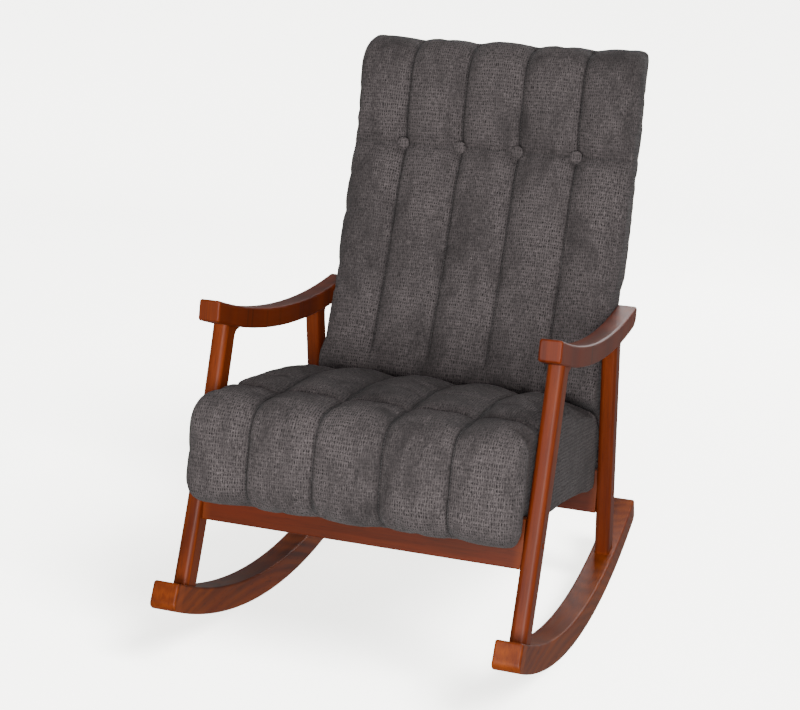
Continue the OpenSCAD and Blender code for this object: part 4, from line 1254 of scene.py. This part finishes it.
@dataclass
class Fittings:
    """Solids that keep their own shape and only need a finish."""

    def dress(self) -> None:
        """Give every remaining solid its finish."""
        beech = PlainFinish("bare_beech", (196, 160, 116), 90, 0.2, 0.62, 0.0, (1, 8, 8)).material()
        steel = PlainFinish("zinc_plated_steel", (150, 150, 152), 400, 0.12, 0.34, 1.0).material()
        spring = PlainFinish("spring_steel", (92, 92, 96), 500, 0.2, 0.42, 1.0).material()
        clip = PlainFinish("clip_steel", (120, 120, 118), 300, 0.2, 0.5, 1.0).material()
        strap = PlainFinish("elastic_strap", (116, 92, 62), 600, 0.3, 0.85, 0.0, (1, 6, 1)).material()
        twine = PlainFinish("waxed_twine", (206, 200, 180), 900, 0.2, 0.7).material()
        looks = {"leg_dowels": beech, "rail_dowels": beech, "rail_bolts": steel, "barrel_nuts": steel,
                 "arm_bolts": steel, "arm_insert_nuts": steel, "back_bolts": steel, "back_insert_nuts": steel,
                 "seat_front_board": beech, "seat_rear_board": beech, "seat_left_board": beech,
                 "seat_right_board": beech, "seat_board_dowels": beech, "seat_corner_blocks": beech,
                 "seat_springs": spring, "seat_spring_clips": clip, "seat_screws": steel,
                 "back_left_stile": beech, "back_right_stile": beech, "back_top_rail": beech,
                 "back_middle_rail": beech, "back_waist_rail": beech, "back_bottom_rail": beech,
                 "back_frame_dowels": beech, "back_webbing": strap, "button_twine": twine}
        for node, material in looks.items():
            obj = bpy.data.objects[node]
            obj.data.materials.clear()
            obj.data.materials.append(material)
            LOG.info("%s: %s", node, material.name)


@dataclass
class DustCover:
    """Thin black cloth stretched under the seat, sagging a little between its staples."""

    half: float = 268.0
    front: float = 24.0
    rear: float = 548.5
    height: float = 249.0
    sag: float = 5.0

    def build(self) -> bpy.types.Object:
        """Build the cloth as a closed thin sheet."""
        xs, ys = np.linspace(-self.half, self.half, 60), np.linspace(self.front, self.rear, 60)
        gx, gy = np.meshgrid(xs, ys, indexing="ij")
        u, v = gx / self.half, (gy - self.front) / (self.rear - self.front) * 2 - 1
        drop = self.sag * (1 - u ** 4) * (1 - v ** 4)
        drop += 0.5 * np.sin(gx * 0.09) * np.sin(gy * 0.07)
        top = np.stack([gx, gy, self.height - drop], 2).reshape(-1, 3)
        low = top - np.array([0, 0, 0.8])
        n = 60
        faces: list[list[int]] = []
        off = n * n
        for i in range(n - 1):
            for j in range(n - 1):
                a, b, c, d = i * n + j, (i + 1) * n + j, (i + 1) * n + j + 1, i * n + j + 1
                faces += [[a, b, c, d], [off + d, off + c, off + b, off + a]]
        rim = ([i * n for i in range(n)] + [(n - 1) * n + j for j in range(1, n)]
               + [i * n + n - 1 for i in range(n - 2, -1, -1)] + [j for j in range(n - 2, 0, -1)])
        for a, b in zip(rim, rim[1:] + rim[:1]):
            faces.append([b, a, off + a, off + b])
        obj = mesh_object("dust_cloth", STANCE.world(np.vstack([top, low])), faces)
        outward(obj)
        obj.data.shade_smooth()
        return obj


# ---- the studio ----------------------------------------------------------------------------------
@dataclass(frozen=True)
class Studio:
    """Pale floor, soft lights and the camera."""

    azimuth: float = 18.5605
    elevation: float = 14.9962
    roll: float = 2.0526
    lens: float = 76.2426
    place: tuple[float, float, float] = (0.879574, -2.769682, 1.254034)
    sensor: float = 36.0
    floor_reach: float = 40.0
    bend_start: float = 3.2
    bend_r: float = 1.6
    bend_top: float = 6.0
    sun_power: float = 11.0
    sun_angle: float = 0.45
    ring_r: float = 38.0
    ring_low: float = -2.0
    ring_top: float = 40.0
    ring_faces: int = 48

    def camera(self) -> None:
        """Aim the camera."""
        az, el, roll = (math.radians(a) for a in (self.azimuth, self.elevation, self.roll))
        back = Vector((math.sin(az) * math.cos(el), -math.cos(az) * math.cos(el), math.sin(el)))
        right = Vector((math.cos(az), math.sin(az), 0))
        up = back.cross(right)
        right, up = right * math.cos(roll) + up * math.sin(roll), up * math.cos(roll) - right * math.sin(roll)
        data = bpy.data.cameras.new("camera")
        data.lens, data.sensor_width, data.sensor_fit = self.lens, self.sensor, "HORIZONTAL"
        cam = bpy.data.objects.new("camera", data)
        cam.matrix_world = Matrix((right, up, back)).transposed().to_4x4()
        cam.location = self.place
        bpy.context.scene.collection.objects.link(cam)
        bpy.context.scene.camera = cam

    def floor(self) -> None:
        """Lay a wide pale floor that curves up behind the chair.

        It sheds no light on the chair, and its own sun, which draws the shadow, lights nothing else.
        """
        shade = Shade("studio_floor")
        at = shade.add("TexCoord").outputs["Object"]
        mottle = shade.noise(at, 3.0, 3.0)
        color = shade.mix(mottle, linear(250, 250, 245), linear(254, 253, 248))
        shade.put(shade.shader.inputs["Emission Color"], color)
        material = shade.finish(color, 0.9, Specular_IOR_Level=0.1, Emission_Strength=3.0)
        reach, start, r = self.floor_reach, self.bend_start, self.bend_r
        rows = [(-reach, 0.0), (start, 0.0)]
        rows += [(start + r * math.sin(a), r - r * math.cos(a)) for a in np.linspace(0.1, math.pi / 2, 14)]
        rows.append((start + r, self.bend_top))
        pts = np.array([[x, y, z] for y, z in rows for x in (-reach, reach)])
        faces = [[2 * k, 2 * k + 1, 2 * k + 3, 2 * k + 2] for k in range(len(rows) - 1)]
        obj = mesh_object("floor", pts, faces)
        obj.data.shade_smooth()
        obj.data.materials.append(material)
        obj.visible_diffuse = obj.visible_glossy = False
        only = bpy.data.collections.new("floor_only")
        only.objects.link(obj)
        data = bpy.data.lights.new("shadow_sun", "SUN")
        data.energy, data.angle = self.sun_power, self.sun_angle
        sun = bpy.data.objects.new("shadow_sun", data)
        sun.rotation_euler = Vector((-2.2, 1.3, -2.6)).to_track_quat("-Z", "Y").to_euler()
        bpy.context.scene.collection.objects.link(sun)
        sun.light_linking.receiver_collection = only

    def backdrop(self) -> None:
        """Stand a pale ring far off, so that no view runs past the floor's end; it sheds no light."""
        shade = Shade("studio_backdrop")
        at = shade.add("TexCoord").outputs["Object"]
        color = shade.mix(shade.noise(at, 0.2, 2.0), linear(250, 250, 245), linear(253, 252, 248))
        shade.put(shade.shader.inputs["Emission Color"], color)
        material = shade.finish(color, 0.9, Specular_IOR_Level=0.1, Emission_Strength=6.2)
        radius, around = self.ring_r, self.ring_faces
        turn = [2 * math.pi * k / around for k in range(around)]
        pts = np.array([[radius * math.cos(t), radius * math.sin(t), z] for t in turn
                        for z in (self.ring_low, self.ring_top)])
        faces = [[2 * k, 2 * k + 1, 2 * ((k + 1) % around) + 1, 2 * ((k + 1) % around)] for k in range(around)]
        obj = mesh_object("backdrop", pts, faces)
        obj.data.materials.append(material)
        obj.visible_diffuse = obj.visible_glossy = obj.visible_shadow = False
        obj.visible_transmission = obj.visible_volume_scatter = False

    def lamp(self, name: str, place: Sequence[float], aim: Sequence[float], size: float, power: float,
             color: Sequence[float] = (1, 1, 1)) -> None:
        """Hang one soft light."""
        data = bpy.data.lights.new(name, "AREA")
        data.shape, data.size, data.energy, data.color = "SQUARE", size, power, tuple(color)
        obj = bpy.data.objects.new(name, data)
        obj.location = place
        obj.rotation_euler = (Vector(aim) - Vector(place)).to_track_quat("-Z", "Y").to_euler()
        bpy.context.scene.collection.objects.link(obj)

    def lights(self) -> None:
        """Light the chair from the front right with a soft fill all round."""
        world = bpy.data.worlds.new("studio_air")
        world.use_nodes = True
        nodes, link = world.node_tree.nodes, world.node_tree.links.new
        back, way, axis, fade = (nodes["Background"], nodes.new("ShaderNodeTexCoord"),
                                 nodes.new("ShaderNodeSeparateXYZ"), nodes.new("ShaderNodeMapRange"))
        back.inputs[0].default_value = (1.0, 0.995, 0.98, 1)
        for k, value in enumerate((0.0, 0.7, 0.42, 0.12)):
            fade.inputs[k + 1].default_value = value
        link(way.outputs["Generated"], axis.inputs[0])
        link(axis.outputs["Z"], fade.inputs[0])
        link(fade.outputs[0], back.inputs[1])
        bpy.context.scene.world = world
        self.lamp("key", (0.9, -3.7, 0.95), (0, 0, 0.5), 1.5, 190)
        self.lamp("side", (3.2, -1.2, 1.3), (0.3, 0, 0.5), 1.6, 11)
        self.lamp("top", (0.9, -1.1, 3.4), (0, -0.2, 0.4), 1.2, 36)
        self.lamp("rear", (0.4, 3.0, 1.7), (0, 0.3, 0.5), 2.0, 62)


def main() -> None:
    """Build the chair piece by piece."""
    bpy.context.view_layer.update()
    studio = Studio()
    studio.camera()
    studio.floor()
    studio.backdrop()
    studio.lights()
    woods = [LacquerFinish("lacquered_cherry_a").material(),
             LacquerFinish("lacquered_cherry_b", (138, 56, 7), (64, 18, 3), 0.37).material(),
             LacquerFinish("lacquered_cherry_c", (148, 64, 9), (72, 21, 3), 0.71).material(),
             LacquerFinish("lacquered_cherry_d", (141, 59, 8), (66, 19, 3), 1.13).material()]
    # Rails: a darker copy of the cherry finish, partly a darker board and partly painted shade, as the rails
    # sit under the seat.
    shaded_rail_wood = LacquerFinish("lacquered_cherry_rail_shaded", (96, 36, 5), (42, 12, 2), 1.61).material()
    for side in Side:
        SideFrame(side).dress(woods)
    rails = CrossRails()
    finished(rails.build(0, "front_rail_wood"), shaded_rail_wood, "lacquered_wood", "front_rail")
    finished(rails.build(1, "rear_rail_wood"), shaded_rail_wood, "lacquered_wood", "rear_rail")
    Fittings().dress()
    cloth = ChenilleFinish().material()
    seat, back = seat_cushion(), back_cushion()
    seat.build(cloth, "upholstery_fabric", 0.85, "seat_cover", "seat_wadding", "seat_foam")
    back.build(cloth, "upholstery_fabric", 0.8, "back_cover", "back_wadding", "back_foam")
    finished(Buttons().build(back), cloth, "upholstery_fabric", "back_buttons")
    dust = PlainFinish("black_dust_cloth", (22, 22, 23), 700, 0.4, 0.9).material()
    finished(DustCover().build(), dust, "dust_cloth", "seat_dust_cover")
    sewing = Stitching()
    tree = sewing.tree(ThreadFinish().material())
    for cushion, name in ((seat, "seat_stitches"), (back, "back_stitches")):
        total = cushion.outline.run[-1]
        span = (cushion.end - cushion.start) % total
        lines = []
        for x in cushion.seams:
            pts = [cushion.on_cover(x, cushion.start + d, 0.3) for d in np.arange(4, span - 4, 6)]
            pts = [q for q in pts if q is not None]
            if len(pts) > 3:
                lines.append(np.array(pts))
        for y, z, _deep, _wide in cushion.cross_seams:
            at = cushion.outline.place_of(y, z)
            pts = [cushion.on_cover(x, at, 0.3) for x in np.arange(-255, 256, 6)]
            pts = [q for q in pts if q is not None]
            lines.append(np.array(pts))
        finished(sewing.rows(name, lines, tree), tree.nodes["Set Material"].inputs["Material"].default_value,
                 "upholstery_fabric")


if __name__ == "__main__":
    main()
